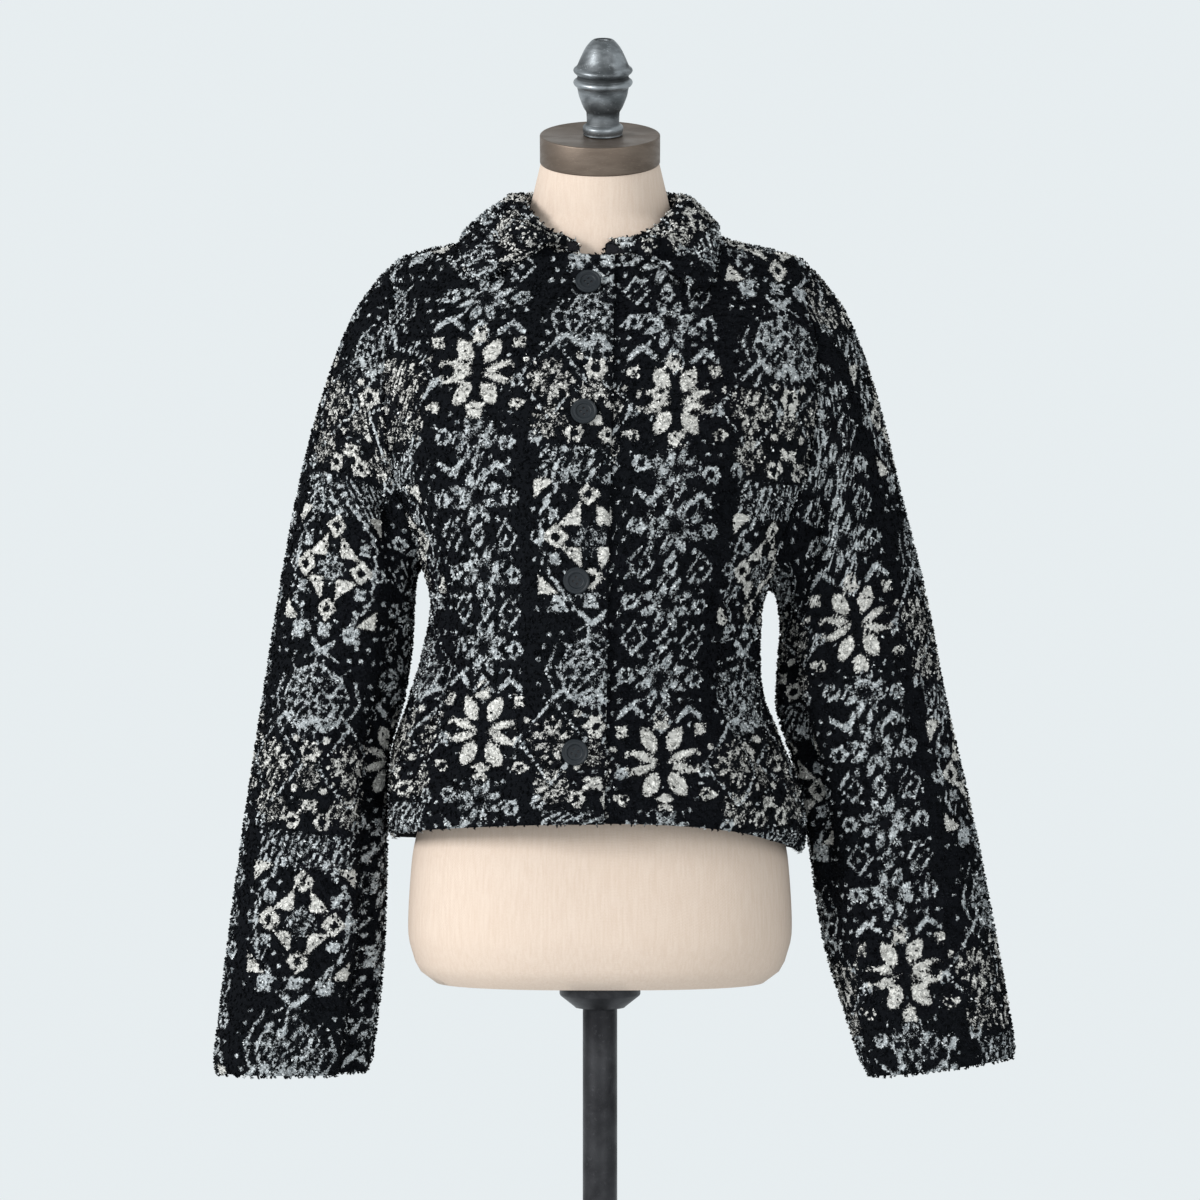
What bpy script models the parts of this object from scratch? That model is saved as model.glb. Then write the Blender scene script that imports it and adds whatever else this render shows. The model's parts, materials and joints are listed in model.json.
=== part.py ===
"""A short cardigan of curly printed fleece, buttoned up on a limbless dress form.

Units are metres and +Z is up. The origin is the middle of the stand's foot on the floor.
The coat's front looks along -Y, and right and left are the wearer's, so right is -X.
Angles round the body are in degrees: 0 is the left side (+X), 90 the front, 180 the right
side and 270 the back.
"""

import math
from collections import namedtuple

import bmesh
import bpy
import numpy as np
from mathutils import Matrix, Vector
from mathutils.bvhtree import BVHTree

# Cloth and seams
WALL = 0.004
COLLAR_WALL = 0.005
SEAM_GAP = 0.0004
LAYER_GAP = 0.0014
NECK_SEAM_GAP = 0.0007
SHOULDER_CLEARANCE = 0.0020
SHOULDER_TIP_EASE = 0.0045

# Dress form
FormStation = namedtuple("FormStation", "z half front back")
FORM_STATIONS = (
    FormStation(0.800, 0.150, 0.090, 0.096),
    FormStation(0.845, 0.161, 0.100, 0.104),
    FormStation(0.900, 0.158, 0.099, 0.103),
    FormStation(0.960, 0.144, 0.094, 0.095),
    FormStation(1.040, 0.117, 0.087, 0.080),
    FormStation(1.100, 0.121, 0.097, 0.082),
    FormStation(1.150, 0.130, 0.112, 0.090),
    FormStation(1.190, 0.138, 0.126, 0.096),
    FormStation(1.225, 0.145, 0.125, 0.100),
    FormStation(1.270, 0.152, 0.111, 0.102),
    FormStation(1.310, 0.159, 0.097, 0.098),
    FormStation(1.345, 0.1675, 0.083, 0.091),
    FormStation(1.370, 0.1740, 0.0725, 0.0830),
    FormStation(1.384, 0.1745, 0.0670, 0.0775),
    FormStation(1.392, 0.1690, 0.0645, 0.0743),
    FormStation(1.402, 0.1470, 0.0620, 0.0705),
    FormStation(1.415, 0.1070, 0.0600, 0.0660),
    FormStation(1.428, 0.0740, 0.0585, 0.0618),
    FormStation(1.436, 0.0630, 0.0572, 0.0593),
    FormStation(1.448, 0.0560, 0.0555, 0.0560),
)
FORM_BOTTOM = 0.800
FORM_SQUARENESS = 2.3
ROUND = 2.0
SQUARE_ENDS = 1.330
ROUND_STARTS = 1.392
NECK_TOP = Vector((0.0, -0.012, 1.486))
NECK_TOP_RADIUS = 0.0495
NECK_TILT = math.radians(20)
NECK_RINGS = 3
TORSO_RING_HEIGHTS = (
    0.800, 0.822, 0.860, 0.910, 0.975, 1.040, 1.090, 1.140, 1.190, 1.230, 1.270, 1.310,
    1.345, 1.367, 1.378, 1.385, 1.390, 1.395, 1.402, 1.411, 1.420, 1.428, 1.438,
)
TORSO_SEGMENTS = 36
TORSO_EDGE_INSET = 0.012

CAP_RADIUS = 0.0503
CAP_HEIGHT = 0.024
CAP_EDGE = 0.0015
FinialPoint = namedtuple("FinialPoint", "radius height")
FINIAL_PROFILE = (
    FinialPoint(0.0000, 0.0752),
    FinialPoint(0.0042, 0.0752),
    FinialPoint(0.0062, 0.0795),
    FinialPoint(0.0094, 0.0790),
    FinialPoint(0.0145, 0.0730),
    FinialPoint(0.0188, 0.0645),
    FinialPoint(0.0218, 0.0575),
    FinialPoint(0.0246, 0.0542),
    FinialPoint(0.0218, 0.0505),
    FinialPoint(0.0224, 0.0475),
    FinialPoint(0.0246, 0.0440),
    FinialPoint(0.0220, 0.0395),
    FinialPoint(0.0202, 0.0325),
    FinialPoint(0.0162, 0.0225),
    FinialPoint(0.0142, 0.0180),
    FinialPoint(0.0138, 0.0100),
    FinialPoint(0.0168, 0.0072),
    FinialPoint(0.0168, 0.0025),
    FinialPoint(0.0150, 0.0000),
    FinialPoint(0.0000, 0.0000),
)
FINIAL_ASIDE = 0.0025
FINIAL_SEGMENTS = 20

# Stand
POLE_RADIUS = 0.0145
FOOT_RADIUS = 0.215
FOOT_THICKNESS = 0.012
HUB_RADIUS = 0.030
HUB_TOP = 0.055
SOCKET_RADIUS = 0.034
SOCKET_HEIGHT = 0.022
STAND_SEGMENTS = 32
TOUCH = 0.0003

# Coat body, its outer face up to the chest
CoatStation = namedtuple("CoatStation", "z half front back shift squareness")
COAT_STATIONS = (
    CoatStation(0.905, 0.1715, 0.1300, 0.1290, -0.0020, 2.30),
    CoatStation(0.933, 0.1735, 0.1305, 0.1280, -0.0023, 2.30),
    CoatStation(0.960, 0.1714, 0.1300, 0.1260, -0.0043, 2.30),
    CoatStation(1.000, 0.1615, 0.1300, 0.1230, -0.0105, 2.30),
    CoatStation(1.036, 0.1480, 0.1310, 0.1200, -0.0115, 2.30),
    CoatStation(1.066, 0.1410, 0.1330, 0.1180, -0.0085, 2.35),
    CoatStation(1.112, 0.1370, 0.1360, 0.1160, -0.0030, 2.40),
    CoatStation(1.148, 0.1475, 0.1380, 0.1150, 0.0000, 2.45),
    CoatStation(1.190, 0.1660, 0.1370, 0.1145, 0.0000, 2.55),
    CoatStation(1.221, 0.1830, 0.1335, 0.1120, 0.0000, 2.60),
    CoatStation(1.260, 0.1960, 0.1235, 0.1120, 0.0000, 2.60),
    CoatStation(1.288, 0.2010, 0.1145, 0.1110, 0.0000, 2.60),
    CoatStation(1.320, 0.2010, 0.1035, 0.1060, 0.0000, 2.50),
    CoatStation(1.347, 0.1970, 0.0940, 0.1000, 0.0000, 2.40),
    CoatStation(1.392, 0.1860, 0.0700, 0.0800, 0.0000, 2.00),
)
HUG_STARTS = 1.340
HUG_ENDS = 1.392

HEM_FRONT = 0.939
HEM_BACK = 0.912
HEM_LEFT_SIDE = 0.909
HEM_RIGHT_SIDE = 0.921
NECK_SIDE = 1.428
NECK_FRONT = 1.402
NECK_BACK = 1.432
NECK_DIP_POWER = 2.2
SHOULDER_TIP = 1.393

# A fold is a soft trough or ridge: where its middle is, how long and wide it is and how far
# it stands out. Its slant is how many degrees round the body it turns for each metre up.
BodyFold = namedtuple("BodyFold", "angle z length width rise slant")
BODY_FOLDS = (
    BodyFold(148, 1.030, 0.200, 0.019, -0.0080, -35),
    BodyFold(158, 0.960, 0.120, 0.015, 0.0060, -20),
    BodyFold(168, 1.000, 0.130, 0.015, -0.0050, 15),
    BodyFold(36, 1.035, 0.190, 0.021, -0.0080, 60),
    BodyFold(22, 0.965, 0.120, 0.017, 0.0060, 30),
    BodyFold(52, 0.975, 0.120, 0.020, 0.0045, 20),
    BodyFold(126, 1.235, 0.150, 0.020, -0.0050, 60),
    BodyFold(54, 1.225, 0.150, 0.020, -0.0050, -60),
    BodyFold(112, 1.000, 0.170, 0.022, -0.0045, 10),
    BodyFold(72, 1.030, 0.160, 0.026, -0.0035, -20),
    BodyFold(212, 1.030, 0.220, 0.022, -0.0075, 35),
    BodyFold(236, 0.995, 0.180, 0.022, 0.0045, -15),
    BodyFold(260, 1.050, 0.220, 0.028, -0.0050, 10),
    BodyFold(288, 1.000, 0.190, 0.024, 0.0045, 20),
    BodyFold(324, 1.040, 0.210, 0.022, -0.0075, -40),
    BodyFold(224, 1.260, 0.170, 0.024, -0.0045, -50),
    BodyFold(314, 1.250, 0.170, 0.024, -0.0045, 50),
)

# Panels
LOWER_ROWS = 9
ARMHOLE_ROWS = 12
SHOULDER_COLUMNS = 5
FRONT_NECK_COLUMNS = 9
BACK_NECK_COLUMNS = 7
UNDERARM_ROW_MIDDLE = 1.085
MIDDLE_GRADE = 1.3
GRADED_ROW = 13
ROW_GRADE = 0.84
EVEN_ROUNDS = 120
EVEN_STEP = 0.8
SAMPLE_ANGLE = 3.0
SAMPLE_HEIGHT = 0.003
SAMPLE_LOW = 0.900
SAMPLE_HIGH = 1.445
UNDERARM_LEFT = 1.132
UNDERARM_RIGHT = 1.151
ARMHOLE_FRONT_DEPTH = 0.071
ARMHOLE_BACK_DEPTH = 0.066
ARMHOLE_LOW_FULLNESS = 0.16

OVERLAP_EDGE_TOP = 0.012
OVERLAP_EDGE_HEM = 0.003
UNDERLAP = 0.043
OVERLAP_RAMP_START = -0.090
OVERLAP_RAMP_END = -0.055

# Sleeves. The outer and inner lines are the sleeve's two edges seen from the front, with x
# measured away from the body; half_depth is from the middle to the front.
SleeveStation = namedtuple("SleeveStation", "along outer_x outer_z inner_x inner_z half_depth y")
RIGHT_SLEEVE = (
    SleeveStation(0.00, 0.1860, 1.3940, 0.1470, 1.1520, 0.070, -0.002),
    SleeveStation(0.06, 0.2090, 1.3590, 0.1540, 1.1410, 0.068, 0.000),
    SleeveStation(0.16, 0.2300, 1.2970, 0.1575, 1.1180, 0.064, 0.002),
    SleeveStation(0.28, 0.2515, 1.2150, 0.1590, 1.0860, 0.060, 0.004),
    SleeveStation(0.42, 0.2690, 1.1200, 0.1650, 1.0400, 0.058, 0.006),
    SleeveStation(0.56, 0.2840, 1.0250, 0.1785, 0.9850, 0.055, 0.008),
    SleeveStation(0.70, 0.2985, 0.9300, 0.1800, 0.9150, 0.050, 0.010),
    SleeveStation(0.85, 0.3120, 0.8300, 0.1825, 0.8250, 0.044, 0.010),
    SleeveStation(1.00, 0.3250, 0.7235, 0.1935, 0.7235, 0.038, 0.008),
)
LEFT_SLEEVE = (
    SleeveStation(0.00, 0.1860, 1.3940, 0.1470, 1.1330, 0.070, -0.002),
    SleeveStation(0.06, 0.2105, 1.3570, 0.1535, 1.1210, 0.068, 0.000),
    SleeveStation(0.16, 0.2310, 1.2920, 0.1535, 1.0980, 0.064, 0.002),
    SleeveStation(0.28, 0.2500, 1.2140, 0.1510, 1.0700, 0.060, 0.004),
    SleeveStation(0.42, 0.2715, 1.1280, 0.1490, 1.0330, 0.058, 0.006),
    SleeveStation(0.56, 0.2905, 1.0320, 0.1640, 0.9800, 0.055, 0.008),
    SleeveStation(0.70, 0.3105, 0.9460, 0.1765, 0.9150, 0.050, 0.010),
    SleeveStation(0.85, 0.3300, 0.8480, 0.1880, 0.8400, 0.044, 0.010),
    SleeveStation(1.00, 0.3490, 0.7375, 0.2240, 0.7205, 0.038, 0.006),
)
SLEEVE_ROWS = 21
SLEEVE_SQUARENESS = 2.15
ARMHOLE_SHAPE_FADES = 0.22

# Folds on a sleeve: angle round it, 0 at the outer line and 90 at the front.
SleeveFold = namedtuple("SleeveFold", "angle along length width rise slant")
RIGHT_SLEEVE_FOLDS = (
    SleeveFold(118, 0.13, 0.22, 17, -0.0130, 40),
    SleeveFold(84, 0.17, 0.24, 14, 0.0045, 55),
    SleeveFold(150, 0.20, 0.20, 16, 0.0050, 30),
    SleeveFold(64, 0.40, 0.26, 18, -0.0045, -60),
    SleeveFold(112, 0.52, 0.24, 16, -0.0055, 45),
    SleeveFold(70, 0.72, 0.28, 18, -0.0040, 35),
    SleeveFold(128, 0.80, 0.30, 18, 0.0040, -20),
    SleeveFold(245, 0.14, 0.22, 18, -0.0110, -40),
    SleeveFold(280, 0.36, 0.26, 18, -0.0050, 45),
    SleeveFold(238, 0.56, 0.28, 18, -0.0050, -40),
    SleeveFold(275, 0.78, 0.28, 18, -0.0040, 30),
)
LEFT_SLEEVE_FOLDS = (
    SleeveFold(114, 0.14, 0.24, 17, -0.0130, 45),
    SleeveFold(82, 0.16, 0.22, 14, 0.0045, 60),
    SleeveFold(148, 0.22, 0.20, 16, 0.0050, 25),
    SleeveFold(98, 0.40, 0.26, 16, -0.0055, -55),
    SleeveFold(62, 0.56, 0.26, 18, -0.0045, 40),
    SleeveFold(120, 0.66, 0.26, 18, -0.0050, -35),
    SleeveFold(84, 0.86, 0.26, 18, -0.0035, 25),
    SleeveFold(243, 0.15, 0.22, 18, -0.0110, -45),
    SleeveFold(285, 0.42, 0.28, 18, -0.0050, 40),
    SleeveFold(236, 0.62, 0.28, 18, -0.0050, 35),
    SleeveFold(272, 0.84, 0.26, 18, -0.0040, -30),
)

# Collar. Each station is on the neck seam, going from the right front round the back to the
# left front. rise is from the seam to the fold's top, lean is how far the stand leans to the
# neck, and the edge point is where the fall ends.
CollarStation = namedtuple("CollarStation", "turn rise lean edge_x edge_y edge_z edge_lift")
COLLAR_STATIONS = (
    CollarStation(102.6, 0.0100, 0.000, -0.0940, -0.0720, 1.3850, 0.0060),
    CollarStation(112, 0.0105, 0.001, -0.1050, -0.0660, 1.3880, 0.0050),
    CollarStation(124, 0.0125, 0.002, -0.1120, -0.0540, 1.3960, 0.0042),
    CollarStation(138, 0.0165, 0.004, -0.1140, -0.0360, 1.4080, 0.0040),
    CollarStation(158, 0.0220, 0.008, -0.1145, -0.0120, 1.4170, 0.0040),
    CollarStation(180, 0.0250, 0.010, -0.1130, 0.0120, 1.4190, 0.0040),
    CollarStation(225, 0.0300, 0.007, -0.0860, 0.0660, 1.4060, 0.0050),
    CollarStation(270, 0.0320, 0.004, 0.0000, 0.0860, 1.4040, 0.0070),
    CollarStation(315, 0.0300, 0.007, 0.0780, 0.0670, 1.4060, 0.0050),
    CollarStation(360, 0.0240, 0.008, 0.0960, 0.0120, 1.4240, 0.0040),
    CollarStation(382, 0.0210, 0.007, 0.0955, -0.0180, 1.4200, 0.0040),
    CollarStation(402, 0.0165, 0.004, 0.0950, -0.0440, 1.4060, 0.0045),
    CollarStation(420, 0.0130, 0.002, 0.0940, -0.0610, 1.3900, 0.0060),
    CollarStation(435, 0.0110, 0.001, 0.0910, -0.0740, 1.3770, 0.0070),
    CollarStation(446, 0.0105, 0.000, 0.0830, -0.0810, 1.3700, 0.0070),
)
COLLAR_END_SPAN = 2.5
COLLAR_GAP = 0.0012
RAISE_ROUNDS = 5
COLLAR_ROLL = 0.0060
COLLAR_ROLL_STEPS = 4
COLLAR_FALL_STEPS = 5
COLLAR_FALL_FULLNESS = 0.004
COLLAR_FALL_SPREAD = 0.001

# Buttons
ButtonPlace = namedtuple("ButtonPlace", "x z")
BUTTON_PLACES = (
    ButtonPlace(-0.0095, 1.3750),
    ButtonPlace(-0.0130, 1.2700),
    ButtonPlace(-0.0185, 1.1360),
    ButtonPlace(-0.0200, 0.9975),
)
BUTTON_RADIUS = 0.0108
BUTTON_HOLE_RADIUS = 0.0011
BUTTON_HOLE_SPREAD = 0.0023
BUTTON_SEGMENTS = 18
BUTTON_GAP = 0.0006
ButtonPoint = namedtuple("ButtonPoint", "radius height")
BUTTON_PROFILE = (
    ButtonPoint(0.0, 0.0017),
    ButtonPoint(0.0055, 0.0017),
    ButtonPoint(0.0066, 0.0029),
    ButtonPoint(0.0082, 0.0027),
    ButtonPoint(0.0096, 0.0033),
    ButtonPoint(BUTTON_RADIUS, 0.0024),
    ButtonPoint(0.0104, 0.0008),
    ButtonPoint(0.0088, 0.0),
    ButtonPoint(0.0, 0.0),
)

STEP = 0.0005
ANGLE_STEP = 0.4


def clear_scene():
    """Remove every object, so that the script can be run again."""
    for old in list(bpy.data.objects):
        bpy.data.objects.remove(old)


def new_collection(name):
    group = bpy.data.collections.new(name)
    bpy.context.scene.collection.children.link(group)
    return group


def new_material(name, colour, roughness, metallic=0.0):
    material = bpy.data.materials.new(name)
    material.use_nodes = True
    shader = material.node_tree.nodes["Principled BSDF"]
    shader.inputs["Base Color"].default_value = (*colour, 1.0)
    shader.inputs["Roughness"].default_value = roughness
    shader.inputs["Metallic"].default_value = metallic
    return material


def smooth_step(low, high, value):
    share = min(1.0, max(0.0, (value - low) / (high - low)))
    return share * share * (3 - 2 * share)


def mix(first, second, share):
    return first + (second - first) * share


def slope_at(table, key, column, index):
    """Slope of a column at one row, flat at a peak so that the curve doesn't overshoot."""
    last = len(table) - 1

    def rate(low):
        run = getattr(table[low + 1], key) - getattr(table[low], key)
        return (getattr(table[low + 1], column) - getattr(table[low], column)) / run

    if index == 0:
        return rate(0)
    if index == last:
        return rate(last - 1)
    before, after = rate(index - 1), rate(index)
    if before * after <= 0:
        return 0.0
    return 2 * before * after / (before + after)


def read_table(table, key, value):
    """The table's row at a value of its key column, on smooth curves between its rows."""
    keys = [getattr(row, key) for row in table]
    value = min(keys[-1], max(keys[0], value))
    low = max(i for i in range(len(keys) - 1) if keys[i] <= value)
    run = keys[low + 1] - keys[low]
    t = (value - keys[low]) / run
    found = {}
    for column in table[0]._fields:
        start, end = getattr(table[low], column), getattr(table[low + 1], column)
        out = slope_at(table, key, column, low) * run
        into = slope_at(table, key, column, low + 1) * run
        found[column] = (
            start * (2 * t**3 - 3 * t**2 + 1)
            + out * (t**3 - 2 * t**2 + t)
            + end * (3 * t**2 - 2 * t**3)
            + into * (t**3 - t**2)
        )
    return type(table[0])(**found)


def rounded(value, squareness):
    """A sine or cosine bent so that an ellipse made from it has fuller corners."""
    return math.copysign(abs(value) ** (2 / squareness), value)


def section_point(angle, z, half, front, back, squareness):
    """A point on one level section, an ellipse with its own front and back depth."""
    turn = math.radians(angle)
    across = rounded(math.cos(turn), squareness)
    forward = rounded(math.sin(turn), squareness)
    depth = front if forward > 0 else back
    return Vector((half * across, -depth * forward, z))


# Dress form surface


def form_squareness(z):
    return mix(FORM_SQUARENESS, ROUND, smooth_step(SQUARE_ENDS, ROUND_STARTS, z))


def form_point(angle, z):
    row = read_table(FORM_STATIONS, "z", z)
    return section_point(angle, z, row.half, row.front, row.back, form_squareness(z))


def outward(surface, angle, z):
    """Outward normal of a surface that is given by angle and height."""
    round_it = surface(angle + ANGLE_STEP, z) - surface(angle - ANGLE_STEP, z)
    up = surface(angle, z + STEP) - surface(angle, z - STEP)
    return up.cross(round_it).normalized()


# Coat surface


def body_fold(angle, z):
    """How far the cloth's folds stand out at this place."""
    total = 0.0
    for fold in BODY_FOLDS:
        up = z - fold.z
        aside = (angle - fold.angle - fold.slant * up + 180) % 360 - 180
        reach = 2 * up / fold.length
        if abs(reach) < 1:
            across = math.radians(aside) * COAT_STATIONS[0].front / fold.width
            total += fold.rise * (1 - reach * reach) ** 2 * math.exp(-across * across)
    return total


def coat_point(angle, z):
    """Outer face of the coat's body. On the shoulders it lies on the dress form."""
    row = read_table(COAT_STATIONS, "z", z)
    hug = smooth_step(HUG_STARTS, HUG_ENDS, z)
    point = section_point(angle, z, row.half, row.front, row.back, row.squareness)
    point *= 1 + body_fold(angle, z) / row.front
    point.z = z
    point.x += row.shift
    if hug == 0:
        return point
    rest = form_point(angle, z)
    ease = SHOULDER_TIP_EASE * smooth_step(0.105, 0.165, abs(rest.x))
    lift = SHOULDER_CLEARANCE + WALL + ease
    return point.lerp(rest + outward(form_point, angle, z) * lift, hug)


def overlap_lift(x, z):
    """How far the right front stands out to pass over the left front."""
    ramp = smooth_step(OVERLAP_RAMP_START, OVERLAP_RAMP_END, x)
    return ramp * (WALL + LAYER_GAP)


def hem_height(angle):
    turn = math.radians(angle)
    side = mix(HEM_RIGHT_SIDE, HEM_LEFT_SIDE, (1 + math.cos(turn)) / 2)
    middle = HEM_FRONT if math.sin(turn) > 0 else HEM_BACK
    fullness = 1.25 + 0.35 * math.cos(turn)
    return mix(side, middle, abs(math.sin(turn)) ** fullness)


def angle_for(x, z):
    """Angle round the front at which the coat's outer face has this x."""
    low, high = 0.0, 180.0
    for _ in range(40):
        middle = (low + high) / 2
        if coat_point(middle, z).x > x:
            low = middle
        else:
            high = middle
    return (low + high) / 2


def neck_place(turn):
    """Angle and height on the neck seam at a turn round the neck, 90 at the centre front."""
    across = math.cos(math.radians(turn))
    if math.sin(math.radians(turn)) < 0:
        return turn, mix(NECK_SIDE, NECK_BACK, 1 - across * across)
    if abs(abs(across) - 1) < 0.0001:
        return turn, NECK_SIDE
    z = mix(NECK_FRONT, NECK_SIDE, abs(across) ** NECK_DIP_POWER)
    x = coat_point(0, NECK_SIDE).x * across
    return angle_for(x, z) + 360 * (turn >= 360), z


def turn_at_x(x):
    """Turn round the neck at which the front neck seam has this x."""
    return math.degrees(math.acos(x / coat_point(0, NECK_SIDE).x))


def edge_place(side, front, row):
    """Angle and height where a row of the panel grid meets its side seam or armhole.

    side is 1 for the wearer's left (+X) and -1 for the right. front is True for a front panel.
    """
    seam = 0.0 if side > 0 else 180.0
    underarm = UNDERARM_LEFT if side > 0 else UNDERARM_RIGHT
    if row <= LOWER_ROWS:
        return seam, mix(hem_height(seam), underarm, row / LOWER_ROWS)
    turn = math.pi * ((row - LOWER_ROWS) / ARMHOLE_ROWS - 0.5)
    z = (underarm + SHOULDER_TIP) / 2 + (SHOULDER_TIP - underarm) / 2 * math.sin(turn)
    reach = ARMHOLE_FRONT_DEPTH if front else ARMHOLE_BACK_DEPTH
    reach *= math.cos(turn) * (1 - ARMHOLE_LOW_FULLNESS * math.sin(turn))
    station = read_table(COAT_STATIONS, "z", z)
    depth = station.front if front else station.back
    opening = math.degrees(math.asin((reach / depth) ** (station.squareness / 2)))
    towards_middle = side if front else -side
    return seam + towards_middle * opening, z


def shoulder_place(seam, column):
    """Angle and height on a shoulder seam, from its tip at column 0 up to the neck."""
    return seam, mix(SHOULDER_TIP, NECK_SIDE, column / SHOULDER_COLUMNS)


def fill_grid(side_edge, middle_edge, bottom, top):
    """Places of half a panel from its four edges, each a list of (angle, height)."""
    rows, columns = len(side_edge) - 1, len(bottom) - 1
    places = np.zeros((rows + 1, columns + 1, 2))
    for row in range(rows + 1):
        v = row / rows
        for column in range(columns + 1):
            u = column / columns
            for axis in (0, 1):
                across = mix(side_edge[row][axis], middle_edge[row][axis], u)
                up = mix(bottom[column][axis], top[column][axis], v)
                low = mix(bottom[0][axis], bottom[-1][axis], u)
                high = mix(top[0][axis], top[-1][axis], u)
                places[row, column, axis] = across + up - mix(low, high, v)
    return even_out(places)


def coat_samples():
    """Points of the coat's outer face on an even grid of angles and heights."""
    angles = np.arange(-SAMPLE_ANGLE, 360 + 2 * SAMPLE_ANGLE, SAMPLE_ANGLE)
    heights = np.arange(SAMPLE_LOW, SAMPLE_HIGH, SAMPLE_HEIGHT)
    grid = [[coat_point(float(angle), float(z)) for z in heights] for angle in angles]
    return np.array([[tuple(point) for point in line] for line in grid])


def read_samples(samples, places):
    """Surface points for an array of places, between the four samples round each."""
    a = (places[..., 0] % 360) / SAMPLE_ANGLE + 1
    z = np.clip((places[..., 1] - SAMPLE_LOW) / SAMPLE_HEIGHT, 0, samples.shape[1] - 1.001)
    i, j = a.astype(int), z.astype(int)
    s, t = (a - i)[..., None], (z - j)[..., None]
    low = samples[i, j] * (1 - s) + samples[i + 1, j] * s
    high = samples[i, j + 1] * (1 - s) + samples[i + 1, j + 1] * s
    return low * (1 - t) + high * t


def even_out(places):
    """Slide a grid's inner places over the surface until its cells are even."""
    samples = coat_samples()
    grade = np.ones((len(places) - 2, 1, 1))
    grade[GRADED_ROW:] = ROW_GRADE
    for _ in range(EVEN_ROUNDS):
        points = read_samples(samples, places)
        upright = (points[:-2, 1:-1] * grade + points[2:, 1:-1]) / (1 + grade)
        aim = (2 * upright + points[1:-1, :-2] + points[1:-1, 2:]) / 4
        move = aim - points[1:-1, 1:-1]
        inner = places[1:-1, 1:-1]
        along = (
            read_samples(samples, inner + (1.0, 0.0)) - read_samples(samples, inner - (1.0, 0.0))
        ) / 2.0
        up = (
            read_samples(samples, inner + (0.0, 0.002)) - read_samples(samples, inner - (0.0, 0.002))
        ) / 0.004
        aa = (along * along).sum(-1)
        au = (along * up).sum(-1)
        uu = (up * up).sum(-1)
        ma = (move * along).sum(-1)
        mu = (move * up).sum(-1)
        scale = aa * uu - au * au
        places[1:-1, 1:-1, 0] += EVEN_STEP * (ma * uu - mu * au) / scale
        places[1:-1, 1:-1, 1] += EVEN_STEP * (mu * aa - ma * au) / scale
    return [[(float(angle), float(z)) for angle, z in line] for line in places]


def middle_height(row, hem, neck):
    """Height at which a row of the panel grid meets the centre front or centre back."""
    if row <= LOWER_ROWS:
        return mix(hem, UNDERARM_ROW_MIDDLE, row / LOWER_ROWS)
    share = (row - LOWER_ROWS) / ARMHOLE_ROWS
    return mix(UNDERARM_ROW_MIDDLE, neck, 1 - (1 - share) ** MIDDLE_GRADE)


def half_places(side, front, middle_edge, last_turn, neck_columns):
    """Grid of places from a side seam and armhole to the centre front or centre back."""
    columns = SHOULDER_COLUMNS + neck_columns
    seam = 0.0 if side > 0 else 180.0
    side_edge = [edge_place(side, front, row) for row in range(LOWER_ROWS + ARMHOLE_ROWS + 1)]
    bottom = []
    for column in range(columns + 1):
        angle = mix(seam, middle_edge[0][0], column / columns)
        bottom.append((angle, hem_height(angle)))
    top = [shoulder_place(seam, column) for column in range(SHOULDER_COLUMNS)]
    for column in range(neck_columns + 1):
        top.append(neck_place(mix(seam, last_turn, column / neck_columns)))
    return fill_grid(side_edge, middle_edge, bottom, top)


def front_places(side):
    """Grid of a front panel's places, from its side seam to its centre edge."""
    last_turn = turn_at_x(-UNDERLAP if side > 0 else OVERLAP_EDGE_TOP)
    top = neck_place(last_turn)[1]
    middle_edge = []
    for row in range(LOWER_ROWS + ARMHOLE_ROWS + 1):
        z = middle_height(row, HEM_FRONT, top)
        share = (z - HEM_FRONT) / (top - HEM_FRONT)
        x = -UNDERLAP if side > 0 else mix(OVERLAP_EDGE_HEM, OVERLAP_EDGE_TOP, share)
        middle_edge.append((angle_for(x, z), z))
    return half_places(side, True, middle_edge, last_turn, FRONT_NECK_COLUMNS)


def back_places():
    """Grid of the back panel's places, from the right side seam to the left one."""
    middle = []
    for row in range(LOWER_ROWS + ARMHOLE_ROWS + 1):
        middle.append((270.0, middle_height(row, HEM_BACK, NECK_BACK)))
    right = half_places(-1, False, middle, 270, BACK_NECK_COLUMNS)
    middle = [(angle - 360, z) for angle, z in middle]
    left = half_places(1, False, middle, -90, BACK_NECK_COLUMNS)
    places = []
    for near, far in zip(right, left):
        places.append(near + [(angle + 360, z) for angle, z in reversed(far[:-1])])
    return places


def panel_points(places, lift=None):
    """Outer and inner points of a panel from its grid of (angle, height) places."""
    outer, inner = [], []
    for line in places:
        faces = [(coat_point(angle, z), outward(coat_point, angle, z)) for angle, z in line]
        if lift:
            faces = [(point + normal * lift(point.x, point.z), normal) for point, normal in faces]
        outer.append([point for point, normal in faces])
        inner.append([point - normal * WALL for point, normal in faces])
    return outer, inner


def trim_side(grid, column, neighbour, gap):
    """Draw the edge column of a grid in, square to its own run, to leave the seam's gap."""
    edge = [line[column] for line in grid]
    for row, line in enumerate(grid):
        run = (edge[min(len(edge) - 1, row + 1)] - edge[max(0, row - 1)]).normalized()
        inward = line[neighbour] - line[column]
        inward -= run * inward.dot(run)
        line[column] = line[column] + inward.normalized() * gap


def trim_shoulder(grid, edge_column, step):
    """Draw the shoulder seam's part of the top row in; step leads from the tip to the neck."""
    top, below = grid[-1], grid[-2]
    columns = [edge_column + step * i for i in range(SHOULDER_COLUMNS + 1)]
    edge = [top[column] for column in columns]
    for index, column in enumerate(columns):
        run = edge[min(SHOULDER_COLUMNS, index + 1)] - edge[max(0, index - 1)]
        run = run.normalized()
        inward = below[column] - top[column]
        inward -= run * inward.dot(run)
        top[column] = top[column] + inward.normalized() * SEAM_GAP / 2


# Meshes


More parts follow.
